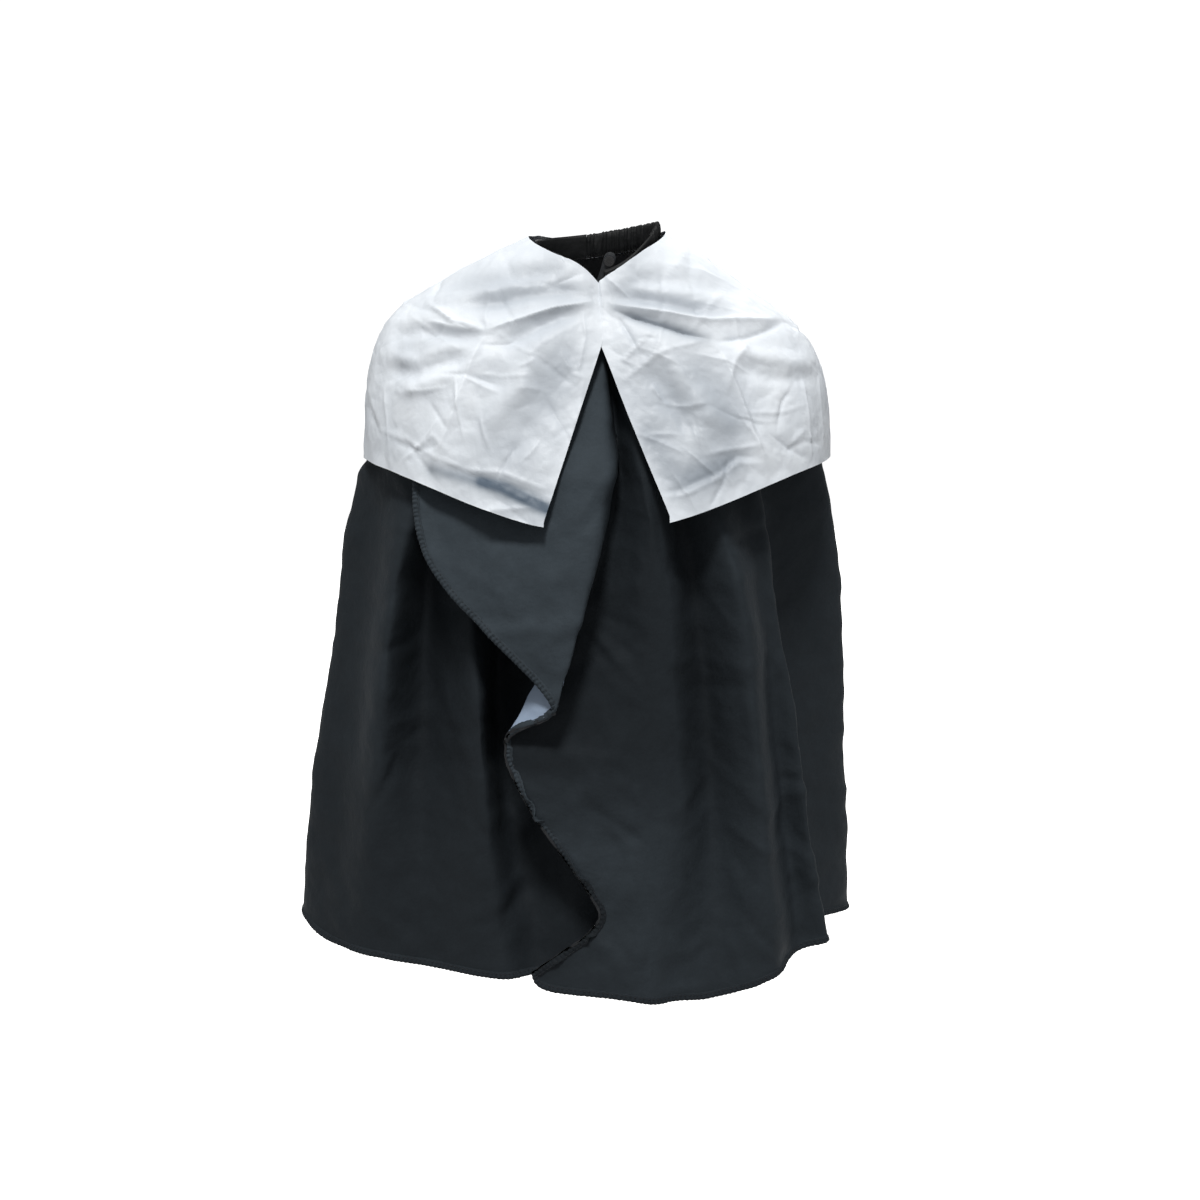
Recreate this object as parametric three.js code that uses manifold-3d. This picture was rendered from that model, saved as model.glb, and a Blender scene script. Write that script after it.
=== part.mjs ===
// Barber cape: a wrap-over body cloth on an elastic neckband, worn under a white film shoulder cape.
// Millimetres, +Z up, the open front faces -Y, origin at the centre of the neck opening.
// Angles run round the neck in degrees: 0 at the front, 90 at +X, 180 at the back, -90 at -X.
// A level of 0 is the neck seam, SHOULDER_LEVEL is the widest line of the shoulders and 1 is the hem.
import * as THREE from 'three';
import { mergeVertices } from 'three/addons/utils/BufferGeometryUtils.js';
import Module from 'manifold-3d';

const wasm = await Module();
wasm.setup();

// Neck seam
const NECK_HALF_WIDTH = 64;
const NECK_HALF_DEPTH = 58;
const NECK_SIDE_Z = -4;
const NECK_FRONT_Z = -42;
const NECK_BACK_Z = -8;
const NECK_TILT = 0.14;

// Shoulders and chest
const SHOULDER_HALF_WIDTH = 232;
const SHOULDER_SIDE_Z = -150;
const CHEST_DEPTH = 150;
const CHEST_Z = -240;
const UPPER_BACK_DEPTH = 126;
const UPPER_BACK_Z = -190;

// Hem
const HEM_HALF_WIDTH = 298;
const HEM_FRONT_DEPTH = 186;
const HEM_BACK_DEPTH = 168;
const HEM_Z = -716;
const HEM_SHIFT = -18;

// Body cloth and its layers
const CLOTH = 2;
const LAYER_GAP = 0.3;
const SEAM_GAP = 0.3;
const HEM_WIDTH = 7;
const HEM_CLOTH = 1.2;
const OVERLAP_LIFT = 5;
const LAPEL_LIFT = OVERLAP_LIFT + LAYER_GAP + CLOTH;
const SIDE_SEAM_ANGLE = 98;

// Front opening: half-width positions (x) of the cloth's edges, from the neck down
const UNDERLAP_X = 44;
const SLIT_X = 11;
const OVERLAP_START_LEVEL = 0.06;
const OVERLAP_FADE_START = 20;
const OVERLAP_FADE_END = 60;
const LAPEL_TOP_Z = -118;
const LAPEL_OUTER_X = -181;
const LAPEL_TIP_X = -46;
const LAPEL_TIP_Z = -435;
const LAPEL_CORNER_Z = -262;
const LAPEL_BOW = 6;
const RIDGE_TOP_X = 15;
const VALLEY_TOP_X = 12;
const FLAP_HINGE_X = 52;
const FLAP_TOP_Z = -480;
const FLAP_TOP_GAP = 1;
const FLAP_TOP_EDGE_X = -86;
const FLAP_LOW_EDGE_X = -6;
const FLAP_LOW_EDGE_Z = -640;
const FRONT_DROP = 14;

// Neckband
const BAND_HEIGHT = 25;
const BAND_CLOTH = 2.4;
const BAND_GAP = 0.5;
const CASING_DEPTH = 5;
const CASING_WALL = 1.1;
const ELASTIC_DEPTH = 1.6;
const ELASTIC_GAP = 0.6;
const BAND_OPEN_ANGLE = 7;
const GATHER_START_ANGLE = 60;
const GATHER_END_ANGLE = 188;
const BAND_JOIN_ANGLE = 0.5;

// Neck strap
const STRAP_WIDTH = 12;
const STRAP_CLOTH = 1.8;
const STRAP_LENGTH = 40;
const STRAP_LEAN = 17;
const STRAP_TIP_BACK = -2;
const STRAP_RISE = 6;
const STRAP_SNAP_INSET = 9;
const STRAP_SET_IN = 5.3;
const STRAP_ROOT_Y = BAND_GAP + BAND_CLOTH + STRAP_SET_IN - NECK_HALF_DEPTH;
const STRAP_ROOT = new THREE.Vector3(3, STRAP_ROOT_Y, NECK_FRONT_Z + STRAP_RISE);
const BAND_STUD_ANGLE = 22;

// Shoulder cape
const FILM = 1;
const FILM_GAP = 0.8;
const FILM_LIFT = LAPEL_LIFT + FILM_GAP + FILM;

const FILM_NECK_LEVEL = 0.012;
const FILM_SIDE_Z = -209;
const FILM_FRONT_Z = -246;
const FILM_BACK_Z = -226;
const FILM_SIDE_ANGLE = 90;
const FILM_FOLD_TOP_X = -34;
const FILM_FOLD_LOW_X = -104;
const FILM_LEFT_EDGE_TOP_X = 12;
const FILM_LEFT_EDGE_LOW_X = -50;
const FILM_RIGHT_EDGE_TOP_X = -10;
const FILM_RIGHT_EDGE_LOW_X = 69;

// Snap fasteners
const SNAP_Z = -54;
const SNAP_X = 1;
const CAP_RADIUS = 7.5;
const CAP_RISE = 1.8;
const SMALL_CAP_RADIUS = 5;
const RIVET_RADIUS = 1.3;
const RIVET_HOLE_RADIUS = 1.7;
const STUD_RADIUS = 2.2;
const STUD_HEIGHT = 2;
const SOCKET_DEPTH = 1.3;
const STUD_GAP = 0.7;
const STUD_SEAT_GAP = 0.3;
const SOCKET_RADIUS = 5;
const SOCKET_HEIGHT = 1.7;
const FLANGE_RADIUS = 5;
const FLANGE_HEIGHT = 0.7;
const SNAP_SIDES = 20;
const DRILL_LENGTH = 8;
const SNAP_STACK = LAYER_GAP + SOCKET_HEIGHT + LAYER_GAP + FLANGE_HEIGHT + LAYER_GAP;
const FILM_TOP_LIFT = FILM_LIFT + SNAP_STACK + FILM;

const SHOULDER_LEVEL = 0.3;
const LAPEL_HEM_END_LEVEL = 0.55;
const NORMAL_STEP = 0.002;
const ROW_MARGIN = 0.008;
const LEVEL_END = 1.2;
const HALVINGS = 40;
const MERGE_DISTANCE = 0.001;
const RIGHT_ANGLE = 90;
const PANEL_COLUMNS = 12;
const SHOULDER_ROWS = 10;
const SKIRT_ROWS = 14;
const STRIP_COLUMNS = 3;
const BAND_STEP_ANGLE = 7.5;

const material = (color, roughness) => new THREE.MeshStandardMaterial({ color, roughness, metalness: 0 });
const bodyCloth = () => material(0x25282b, 0.8);
const bandCloth = () => material(0x141516, 0.85);
const whiteFilm = () => material(0xdde2ea, 0.35);
const blackElastic = () => material(0x1a1a1a, 0.9);
const whitePlastic = () => material(0xf2f4f6, 0.3);
const blackPlastic = () => material(0x1c1c1e, 0.4);

const mix = THREE.MathUtils.lerp;
const radians = THREE.MathUtils.degToRad;

// Half width, depth and heights of the hanging cloth at one level.
function section(level) {
  if (level < SHOULDER_LEVEL) {
    const down = level / SHOULDER_LEVEL;
    const turn = radians(down * RIGHT_ANGLE);
    return {
      width: mix(NECK_HALF_WIDTH, SHOULDER_HALF_WIDTH, Math.sin(turn)),
      front: mix(NECK_HALF_DEPTH, CHEST_DEPTH, down),
      back: mix(NECK_HALF_DEPTH, UPPER_BACK_DEPTH, Math.sin(turn)),
      sideZ: mix(NECK_SIDE_Z, SHOULDER_SIDE_Z, 1 - Math.cos(turn)),
      frontZ: mix(NECK_FRONT_Z, CHEST_Z, down),
      backZ: mix(NECK_BACK_Z, UPPER_BACK_Z, 1 - Math.cos(turn)),
      shift: 0,
      tilt: NECK_TILT * Math.cos(turn),
    };
  }
  const down = (level - SHOULDER_LEVEL) / (1 - SHOULDER_LEVEL);
  return {
    width: mix(SHOULDER_HALF_WIDTH, HEM_HALF_WIDTH, down),
    front: mix(CHEST_DEPTH, HEM_FRONT_DEPTH, down),
    back: mix(UPPER_BACK_DEPTH, HEM_BACK_DEPTH, down),
    sideZ: mix(SHOULDER_SIDE_Z, HEM_Z, down),
    frontZ: mix(CHEST_Z, HEM_Z, down),
    backZ: mix(UPPER_BACK_Z, HEM_Z, down),
    shift: HEM_SHIFT * down,
    tilt: 0,
  };
}

function clothPoint(angle, level) {
  const cut = section(level);
  const sine = Math.sin(radians(angle));
  const cosine = Math.cos(radians(angle));
  const depth = cosine > 0 ? cut.front : cut.back;
  const endZ = cosine > 0 ? cut.frontZ : cut.backZ;
  const height = mix(cut.sideZ, endZ, cosine * cosine);
  const reach = cut.width * sine;
  return new THREE.Vector3(cut.shift + reach, -depth * cosine, height + cut.tilt * reach);
}

// The hanging surface moved out along its own normal by lift.
function drape(angle, level, lift) {
  const here = clothPoint(angle, level);
  const round = clothPoint(angle + 1, level).sub(clothPoint(angle - 1, level));
  const top = Math.max(level - NORMAL_STEP, 0);
  const along = clothPoint(angle, level + NORMAL_STEP).sub(clothPoint(angle, top));
  const normal = along.cross(round).normalize();
  return here.addScaledVector(normal, lift);
}

// The level at which the cloth reaches height z on one angle.
function levelAt(angle, z) {
  let low = 0;
  let high = LEVEL_END;
  for (let step = 0; step < HALVINGS; step += 1) {
    const middle = (low + high) / 2;
    if (clothPoint(angle, middle).z > z) low = middle;
    else high = middle;
  }
  return low;
}

// The angle at which the cloth's front crosses the upright plane x at one level.
function angleAtX(x, level) {
  const cut = section(level);
  return THREE.MathUtils.radToDeg(Math.asin((x - cut.shift) / cut.width));
}

// The levels at which every sheet has its rows, so that layers lie parallel, between two end levels.
function rowLevels(top, bottom) {
  const all = [];
  for (let row = 0; row < SHOULDER_ROWS; row += 1) all.push(SHOULDER_LEVEL * row / SHOULDER_ROWS);
  for (let row = 0; row <= SKIRT_ROWS; row += 1) all.push(mix(SHOULDER_LEVEL, 1, row / SKIRT_ROWS));
  const inner = all.filter((level) => level > top + ROW_MARGIN && level < bottom - ROW_MARGIN);
  return [top, ...inner, bottom];
}

// A closed sheet between surface(u, v, 0) and surface(u, v, -thickness), u and v from 0 to 1.
function sheetGeometry(surface, columns, rows, thickness) {
  const positions = [];
  const side = (offset) => {
    for (let row = 0; row <= rows; row += 1) {
      for (let column = 0; column <= columns; column += 1) {
        positions.push(...surface(column / columns, row / rows, offset).toArray());
      }
    }
  };
  side(0);
  side(-thickness);
  const count = (columns + 1) * (rows + 1);
  const at = (column, row) => row * (columns + 1) + column;
  const indices = [];
  const quad = (a, b, c, d) => indices.push(a, b, c, a, c, d);
  for (let row = 0; row < rows; row += 1) {
    for (let column = 0; column < columns; column += 1) {
      const a = at(column, row);
      const b = at(column, row + 1);
      const c = at(column + 1, row + 1);
      const d = at(column + 1, row);
      quad(a, b, c, d);
      quad(d + count, c + count, b + count, a + count);
    }
  }
  const wall = (a, b) => quad(a, b, b + count, a + count);
  for (let column = 0; column < columns; column += 1) {
    wall(at(column, 0), at(column + 1, 0));
    wall(at(column + 1, rows), at(column, rows));
  }
  for (let row = 0; row < rows; row += 1) {
    wall(at(0, row + 1), at(0, row));
    wall(at(columns, row), at(columns, row + 1));
  }
  return solidGeometry(positions, indices);
}

function solidGeometry(positions, indices) {
  const geometry = new THREE.BufferGeometry();
  geometry.setAttribute('position', new THREE.Float32BufferAttribute(positions, 3));
  geometry.setIndex(indices);
  geometry.computeVertexNormals();
  return geometry;
}

function named(name, geometry, look) {
  const mesh = new THREE.Mesh(geometry, look);
  mesh.name = name;
  return mesh;
}

// A panel between two edge angles, each a function of how far down it is, and two end levels.
function panel({ left, right, top, bottom, lift, columns = PANEL_COLUMNS, cloth = CLOTH }) {
  const levels = rowLevels(top, bottom);
  const rows = levels.length - 1;
  const surface = (u, v, offset) => {
    const level = levels[Math.round(v * rows)];
    const angle = mix(left(level), right(level), u);
    return drape(angle, level, lift(angle, level) + offset);
  };
  return sheetGeometry(surface, columns, rows, cloth);
}

const flat = (value) => () => value;

// How far an edge has run from height a to height b at one level of the front.
function share(level, a, b) {
  const z = clothPoint(0, level).z;
  return THREE.MathUtils.clamp((z - a) / (b - a), 0, 1);
}

const seamAngle = (level) => THREE.MathUtils.radToDeg(SEAM_GAP / section(level).width);

// The right panel lies over the left one at the front and meets the side at no lift.
const overlapLift = (angle, level) => {
  const inward = 1 - THREE.MathUtils.smoothstep(angle, OVERLAP_FADE_START, OVERLAP_FADE_END);
  return OVERLAP_LIFT * inward * THREE.MathUtils.smoothstep(level, 0, OVERLAP_START_LEVEL);
};

// The left panel's free edge starts at the neck slit and runs in under the right panel.
const underlapX = (level) => {
  const down = THREE.MathUtils.smoothstep(level, OVERLAP_START_LEVEL, SHOULDER_LEVEL);
  return mix(SLIT_X, UNDERLAP_X, down);
};

// The inner fold beside the lapel, which is the right panel's left edge above the free flap.
const valleyX = (level) => {
  const upper = share(level, LAPEL_TOP_Z, LAPEL_CORNER_Z);
  const lower = share(level, LAPEL_CORNER_Z, FLAP_TOP_Z);
  return mix(VALLEY_TOP_X, RIDGE_TOP_X, upper) + lower * lower * (FLAP_TOP_EDGE_X - RIDGE_TOP_X);
};

const frontHemLevel = levelAt(0, HEM_Z - FRONT_DROP);
const flapTopLevel = levelAt(0, FLAP_TOP_Z);

function leftFrontPanel() {
  return panel({
    left: (level) => -SIDE_SEAM_ANGLE + seamAngle(level),
    right: (level) => angleAtX(underlapX(level), level),
    top: 0,
    bottom: 1,
    lift: flat(0),
  });
}

// Above the free flap the right panel runs to the inner fold, below it only to the flap's hinge line.
function rightFrontPanel() {
  return panel({
    left: (level) => angleAtX(FLAP_HINGE_X, level) + seamAngle(level),
    right: (level) => SIDE_SEAM_ANGLE - seamAngle(level),
    top: 0,
    bottom: frontHemLevel,
    lift: overlapLift,
  });
}

function frontInset() {
  return panel({
    left: (level) => angleAtX(valleyX(level), level),
    right: (level) => angleAtX(FLAP_HINGE_X, level) - seamAngle(level),
    top: 0,
    bottom: levelAt(0, FLAP_TOP_Z + FLAP_TOP_GAP),
    lift: overlapLift,
    columns: STRIP_COLUMNS,
  });
}

function backPanel(side) {
  const seam = (level) => side * (SIDE_SEAM_ANGLE + seamAngle(level));
  const middle = (level) => side * (2 * RIGHT_ANGLE - seamAngle(level));
  return panel({
    left: side > 0 ? seam : middle,
    right: side > 0 ? middle : seam,
    top: 0,
    bottom: 1,
    lift: flat(0),
  });
}

// The lapel's free edge: nearly upright from the shoulder cape down, then slanting in to its tip.
const lapelEdgeX = (level) => {
  const lower = share(level, LAPEL_CORNER_Z, LAPEL_TIP_Z);
  const upper = share(level, LAPEL_TOP_Z, LAPEL_CORNER_Z);
  const bow = Math.sin(lower * Math.PI) * LAPEL_BOW;
  const corner = mix(RIDGE_TOP_X, LAPEL_OUTER_X, Math.sin(radians(upper * RIGHT_ANGLE)));
  return mix(corner, LAPEL_TIP_X, lower) - bow;
};

const ridgeX = (level) => {
  const down = share(level, LAPEL_TOP_Z, LAPEL_TIP_Z);
  return mix(RIDGE_TOP_X + HEM_WIDTH, LAPEL_TIP_X + HEM_WIDTH, down * down);
};

const lapelTopLevel = levelAt(0, LAPEL_TOP_Z);
const lapelTipLevel = levelAt(0, LAPEL_TIP_Z);

function lapel() {
  return panel({
    left: (level) => angleAtX(lapelEdgeX(level), level),
    right: (level) => angleAtX(ridgeX(level), level),
    top: lapelTopLevel,
    bottom: lapelTipLevel,
    lift: flat(LAPEL_LIFT),
  });
}

// A turned-in hem: a narrow strip on the inner face, from the panel's edge inward.
function uprightHem(edgeX, top, bottom, lift, inward = HEM_WIDTH) {
  return panel({
    left: (level) => angleAtX(edgeX(level), level),
    right: (level) => angleAtX(edgeX(level) + inward, level),
    top,
    bottom,
    lift: flat(lift - CLOTH - LAYER_GAP),
    columns: 1,
    cloth: HEM_CLOTH,
  });
}

function bottomHem(left, right, bottom, lift, columns = PANEL_COLUMNS) {
  const hemShare = HEM_WIDTH / (CHEST_Z - HEM_Z) * (1 - SHOULDER_LEVEL);
  return panel({
    left,
    right,
    top: bottom - hemShare,
    bottom,
    lift: (angle, level) => lift(angle, level) - CLOTH - LAYER_GAP,
    columns,
    cloth: HEM_CLOTH,
  });
}

const lapelHem = () => uprightHem(lapelEdgeX, SHOULDER_LEVEL, LAPEL_HEM_END_LEVEL, LAPEL_LIFT);

const flapEdgeX = (level) => mix(FLAP_TOP_EDGE_X, FLAP_LOW_EDGE_X, share(level, FLAP_TOP_Z, FLAP_LOW_EDGE_Z));

function frontFlap() {
  return panel({
    left: (level) => angleAtX(flapEdgeX(level), level),
    right: (level) => angleAtX(FLAP_HINGE_X, level) - seamAngle(level),
    top: flapTopLevel,
    bottom: frontHemLevel,
    lift: flat(OVERLAP_LIFT),
    columns: STRIP_COLUMNS * 2,
  });
}

const flapEdgeHem = () => uprightHem(flapEdgeX, flapTopLevel, frontHemLevel, OVERLAP_LIFT);

const leftHem = () => bottomHem(
  (level) => -SIDE_SEAM_ANGLE + seamAngle(level),
  (level) => angleAtX(underlapX(level), level),
  1,
  flat(0),
);
const rightHem = () => bottomHem(
  (level) => angleAtX(FLAP_HINGE_X, level) + seamAngle(level),
  (level) => SIDE_SEAM_ANGLE - seamAngle(level),
  frontHemLevel,
  overlapLift,
);
const flapHem = () => bottomHem(
  (level) => angleAtX(flapEdgeX(level) + HEM_WIDTH + SEAM_GAP, level),
  (level) => angleAtX(FLAP_HINGE_X, level) - seamAngle(level),
  frontHemLevel,
  flat(OVERLAP_LIFT),
  STRIP_COLUMNS,
);
const backHem = () => bottomHem(
  (level) => SIDE_SEAM_ANGLE + seamAngle(level),
  (level) => 4 * RIGHT_ANGLE - SIDE_SEAM_ANGLE - seamAngle(level),
  1,
  flat(0),
  2 * PANEL_COLUMNS,
);

// The neckband stands on the neck seam. inset is measured inward from the seam's edge.
function bandPoint(angle, height, inset) {
  const seam = clothPoint(angle, 0);
  const outward = new THREE.Vector3(seam.x / NECK_HALF_WIDTH, seam.y / NECK_HALF_DEPTH, 0);
  outward.x /= NECK_HALF_WIDTH;
  outward.y /= NECK_HALF_DEPTH;
  outward.normalize();
  return seam.addScaledVector(outward, -inset).add(new THREE.Vector3(0, 0, height + BAND_GAP));
}

function smoothBand(from, to) {
  const surface = (u, v, offset) => (
    bandPoint(mix(from, to, u), mix(BAND_HEIGHT, 0, v), BAND_GAP - offset)
  );
  return sheetGeometry(surface, Math.ceil((to - from) / BAND_STEP_ANGLE), 2, BAND_CLOTH);
}

// A casing with open ends: a rectangular ring of cloth swept round the neck.
function casing(from, to) {
  const steps = Math.ceil((to - from) / BAND_STEP_ANGLE);
  const outside = [[0, BAND_GAP], [BAND_HEIGHT, BAND_GAP],
    [BAND_HEIGHT, BAND_GAP + CASING_DEPTH], [0, BAND_GAP + CASING_DEPTH]];
  const inside = [[CASING_WALL, BAND_GAP + CASING_WALL],
    [BAND_HEIGHT - CASING_WALL, BAND_GAP + CASING_WALL],
    [BAND_HEIGHT - CASING_WALL, BAND_GAP + CASING_DEPTH - CASING_WALL],
    [CASING_WALL, BAND_GAP + CASING_DEPTH - CASING_WALL]];
  const corners = [...outside, ...inside];
  const positions = [];
  for (let step = 0; step <= steps; step += 1) {
    const angle = mix(from, to, step / steps);
    for (const [height, inset] of corners) positions.push(...bandPoint(angle, height, inset).toArray());
  }
  const indices = [];
  const quad = (a, b, c, d) => indices.push(a, b, c, a, c, d);
  for (let step = 0; step < steps; step += 1) {
    const here = step * corners.length;
    const next = here + corners.length;
    for (let corner = 0; corner < outside.length; corner += 1) {
      const after = (corner + 1) % outside.length;
      quad(here + corner, next + corner, next + after, here + after);
      const a = corner + outside.length;
      const b = after + outside.length;
      quad(here + a, here + b, next + b, next + a);
    }
  }
  const last = steps * corners.length;
  for (let corner = 0; corner < outside.length; corner += 1) {
    const after = (corner + 1) % outside.length;
    const a = corner + outside.length;
    const b = after + outside.length;
    quad(corner, after, b, a);
    quad(last + after, last + corner, last + a, last + b);
  }
  return solidGeometry(positions, indices);
}

function elastic(from, to) {
  const inset = BAND_GAP + (CASING_DEPTH - ELASTIC_DEPTH) / 2;
  const low = CASING_WALL + ELASTIC_GAP;
  const surface = (u, v, offset) => (
    bandPoint(mix(from, to, u), mix(BAND_HEIGHT - low, low, v), inset - offset)
  );
  return sheetGeometry(surface, Math.ceil((to - from) / BAND_STEP_ANGLE), 1, ELASTIC_DEPTH);
}

// Film flaps: the free front edges run straight in x from the neck to the lower corners.
const filmShare = (level) => share(level, clothPoint(0, FILM_NECK_LEVEL).z, FILM_FRONT_Z);
const filmX = (top, low) => (level) => angleAtX(mix(top, low, filmShare(level)), level);
const leftFilmEdge = filmX(FILM_LEFT_EDGE_TOP_X, FILM_LEFT_EDGE_LOW_X);
const rightFilmEdge = filmX(FILM_RIGHT_EDGE_TOP_X, FILM_RIGHT_EDGE_LOW_X);
const filmFold = filmX(FILM_FOLD_TOP_X, FILM_FOLD_LOW_X);

// The lower edge of the film is a straight fall of height from the side to the front or the back.
function filmBottom(angle) {
  const cosine = Math.cos(radians(angle));
  const endZ = cosine > 0 ? FILM_FRONT_Z : FILM_BACK_Z;
  return levelAt(angle, mix(FILM_SIDE_Z, endZ, cosine * cosine));
}

function filmPanel(left, right, lift, columns) {
  const surface = (u, v, offset) => {
    const middle = mix(FILM_NECK_LEVEL, SHOULDER_LEVEL, v);
    const rough = mix(left(middle), right(middle), u);
    const level = mix(FILM_NECK_LEVEL, filmBottom(rough), v);
    const angle = mix(left(level), right(level), u);
    return drape(angle, level, lift + offset);
  };
  return sheetGeometry(surface, columns, SHOULDER_ROWS, FILM);
}

const filmGap = (level, lift) => THREE.MathUtils.radToDeg(SEAM_GAP / (section(level).width + lift));
const leftFilmSide = () => filmPanel(
  (level) => -FILM_SIDE_ANGLE + filmGap(level, FILM_TOP_LIFT),
  (level) => filmFold(level) - filmGap(level, FILM_TOP_LIFT),
  FILM_TOP_LIFT,
  PANEL_COLUMNS,
);
const leftFilmFront = () => filmPanel(
  (level) => filmFold(level) + filmGap(level, FILM_TOP_LIFT),
  leftFilmEdge,
  FILM_TOP_LIFT,
  STRIP_COLUMNS * 2,
);
const rightFilm = () => filmPanel(
  rightFilmEdge,
  (level) => FILM_SIDE_ANGLE - filmGap(level, FILM_LIFT),
  FILM_LIFT,
  PANEL_COLUMNS,
);

// The back of the film meets both flaps, so its lift runs from one flap's to the other's.
function filmBack() {
  const surface = (u, v, offset) => {
    const from = FILM_SIDE_ANGLE;
    const to = 4 * RIGHT_ANGLE - FILM_SIDE_ANGLE;
    const level = mix(FILM_NECK_LEVEL, filmBottom(mix(from, to, u)), v);
    const gap = filmGap(level, FILM_LIFT);
    return drape(mix(from + gap, to - gap, u), level, mix(FILM_LIFT, FILM_TOP_LIFT, u) + offset);
  };
  return sheetGeometry(surface, PANEL_COLUMNS * 2, SHOULDER_ROWS, FILM);
}

// Turned snap parts. Each profile is [radius, height] along the snap's axis, which points outward.
function turned(profile) {
  const points = profile.map(([radius, height]) => new THREE.Vector2(radius, height));
  const geometry = new THREE.LatheGeometry(points, SNAP_SIDES);
  geometry.rotateX(radians(RIGHT_ANGLE));
  return plain(geometry);
}

function plain(geometry) {
  geometry.deleteAttribute('normal');
  geometry.deleteAttribute('uv');
  return mergeVertices(geometry, MERGE_DISTANCE);
}

// A domed cap on the outer face, with a rivet that passes through the sheet into the socket.
const capProfile = (radius, sheet) => [
  [0, -sheet], [RIVET_RADIUS, -sheet], [RIVET_RADIUS, LAYER_GAP],
  [radius, LAYER_GAP], [radius, LAYER_GAP + FLANGE_HEIGHT], [radius / 2, CAP_RISE], [0, CAP_RISE + LAYER_GAP],
];
// A socket hangs below the sheet and is hollow from below.
const socketProfile = [
  [0, -SOCKET_HEIGHT + SOCKET_DEPTH], [STUD_RADIUS + STUD_GAP, -SOCKET_HEIGHT + SOCKET_DEPTH],
  [STUD_RADIUS + STUD_GAP, -SOCKET_HEIGHT], [SOCKET_RADIUS, -SOCKET_HEIGHT], [SOCKET_RADIUS, 0], [0, 0],
];
const studProfile = [
  [RIVET_HOLE_RADIUS, 0], [FLANGE_RADIUS, 0], [FLANGE_RADIUS, FLANGE_HEIGHT],
  [STUD_RADIUS, FLANGE_HEIGHT], [STUD_RADIUS, STUD_HEIGHT], [RIVET_HOLE_RADIUS, STUD_HEIGHT],
  [RIVET_HOLE_RADIUS, 0],
];
const postProfile = (sheet) => [
  [0, -FLANGE_HEIGHT], [FLANGE_RADIUS, -FLANGE_HEIGHT], [FLANGE_RADIUS, 0], [RIVET_RADIUS, 0],
  [RIVET_RADIUS, sheet + FLANGE_HEIGHT], [0, sheet + FLANGE_HEIGHT],
];

// A frame on the hanging surface: its Z axis points straight out of the cloth.
function seatOn(angle, level, lift) {
  const spot = drape(angle, level, lift);
  const outward = drape(angle, level, lift + 1).sub(spot).normalize();
  const seat = new THREE.Group();
  seat.position.copy(spot);
  seat.quaternion.setFromUnitVectors(new THREE.Vector3(0, 0, 1), outward);
  seat.updateMatrixWorld(true);
  return seat;
}

// A hole for a rivet, cut through a sheet along a seat's axis.
function withHole(sheet, seat) {
  const drill = new THREE.CylinderGeometry(RIVET_HOLE_RADIUS, RIVET_HOLE_RADIUS, DRILL_LENGTH, SNAP_SIDES);
  drill.rotateX(radians(RIGHT_ANGLE));
  drill.applyMatrix4(seat.matrixWorld);
  const cut = toManifold(plain(sheet)).subtract(toManifold(plain(drill)));
  const result = cut.getMesh();
  return solidGeometry(Array.from(result.vertProperties), Array.from(result.triVerts));
}

function toManifold(geometry) {
  const vertProperties = Float32Array.from(geometry.attributes.position.array);
  const triVerts = Uint32Array.from(geometry.index.array);
  return new wasm.Manifold(new wasm.Mesh({ numProp: 3, vertProperties, triVerts }));
}

// The strap: a flat tongue with a rounded end, standing up from the neckband's front.
function strapOutline() {
  const half = STRAP_WIDTH / 2;
  const outline = new THREE.Shape();
  outline.moveTo(-half, 0);
  outline.lineTo(half, 0);
  outline.lineTo(half, STRAP_LENGTH - half);
  outline.absarc(0, STRAP_LENGTH - half, half, 0, Math.PI, false);
  outline.lineTo(-half, 0);
  const hole = new THREE.Path();
  hole.absarc(0, STRAP_LENGTH - STRAP_SNAP_INSET, RIVET_HOLE_RADIUS, 0, 2 * Math.PI, true);
  outline.holes.push(hole);
  return outline;
}

function strapSeat() {
  const seat = new THREE.Group();
  seat.position.copy(STRAP_ROOT);
  seat.rotation.set(radians(RIGHT_ANGLE - STRAP_TIP_BACK), 0, 0);
  seat.rotateZ(radians(-STRAP_LEAN));
  return seat;
}

function neckStrap() {
  const seat = strapSeat();
  const tongue = new THREE.ExtrudeGeometry(strapOutline(), { depth: STRAP_CLOTH, bevelEnabled: false });
  const fastener = new THREE.Group();
  fastener.position.set(0, STRAP_LENGTH - STRAP_SNAP_INSET, 0);
  fastener.rotation.set(Math.PI, 0, 0);
  fastener.add(
    named('neck_strap_snap_cap', turned(capProfile(SMALL_CAP_RADIUS, STRAP_CLOTH)), blackPlastic()),
  );
  const socket = named('neck_strap_snap_socket', turned(socketProfile), blackPlastic());
  socket.position.set(0, 0, -STRAP_CLOTH - LAYER_GAP);
  fastener.add(socket);
  seat.add(named('neck_strap', tongue, bandCloth()), fastener);
  return seat;
}

// The stud that the strap's socket takes, on the outer face of the neckband's right end.
function bandStudSeat() {
  const spot = bandPoint(BAND_STUD_ANGLE, BAND_HEIGHT / 2, BAND_GAP);
  const outward = bandPoint(BAND_STUD_ANGLE, BAND_HEIGHT / 2, BAND_GAP - 1).sub(spot).normalize();
  const seat = new THREE.Group();
  seat.position.copy(spot);
  seat.quaternion.setFromUnitVectors(new THREE.Vector3(0, 0, 1), outward);
  seat.updateMatrixWorld(true);
  return seat;
}

function studAndPost(seat, prefix, sheet, look) {
  const stud = named(`${prefix}_snap_stud`, turned(studProfile), look);
  stud.position.set(0, 0, STUD_SEAT_GAP);
  const post = named(`${prefix}_snap_post`, turned(postProfile(sheet)), look);
  post.position.set(0, 0, -sheet - LAYER_GAP);
  seat.add(stud, post);
  return seat;
}

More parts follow.
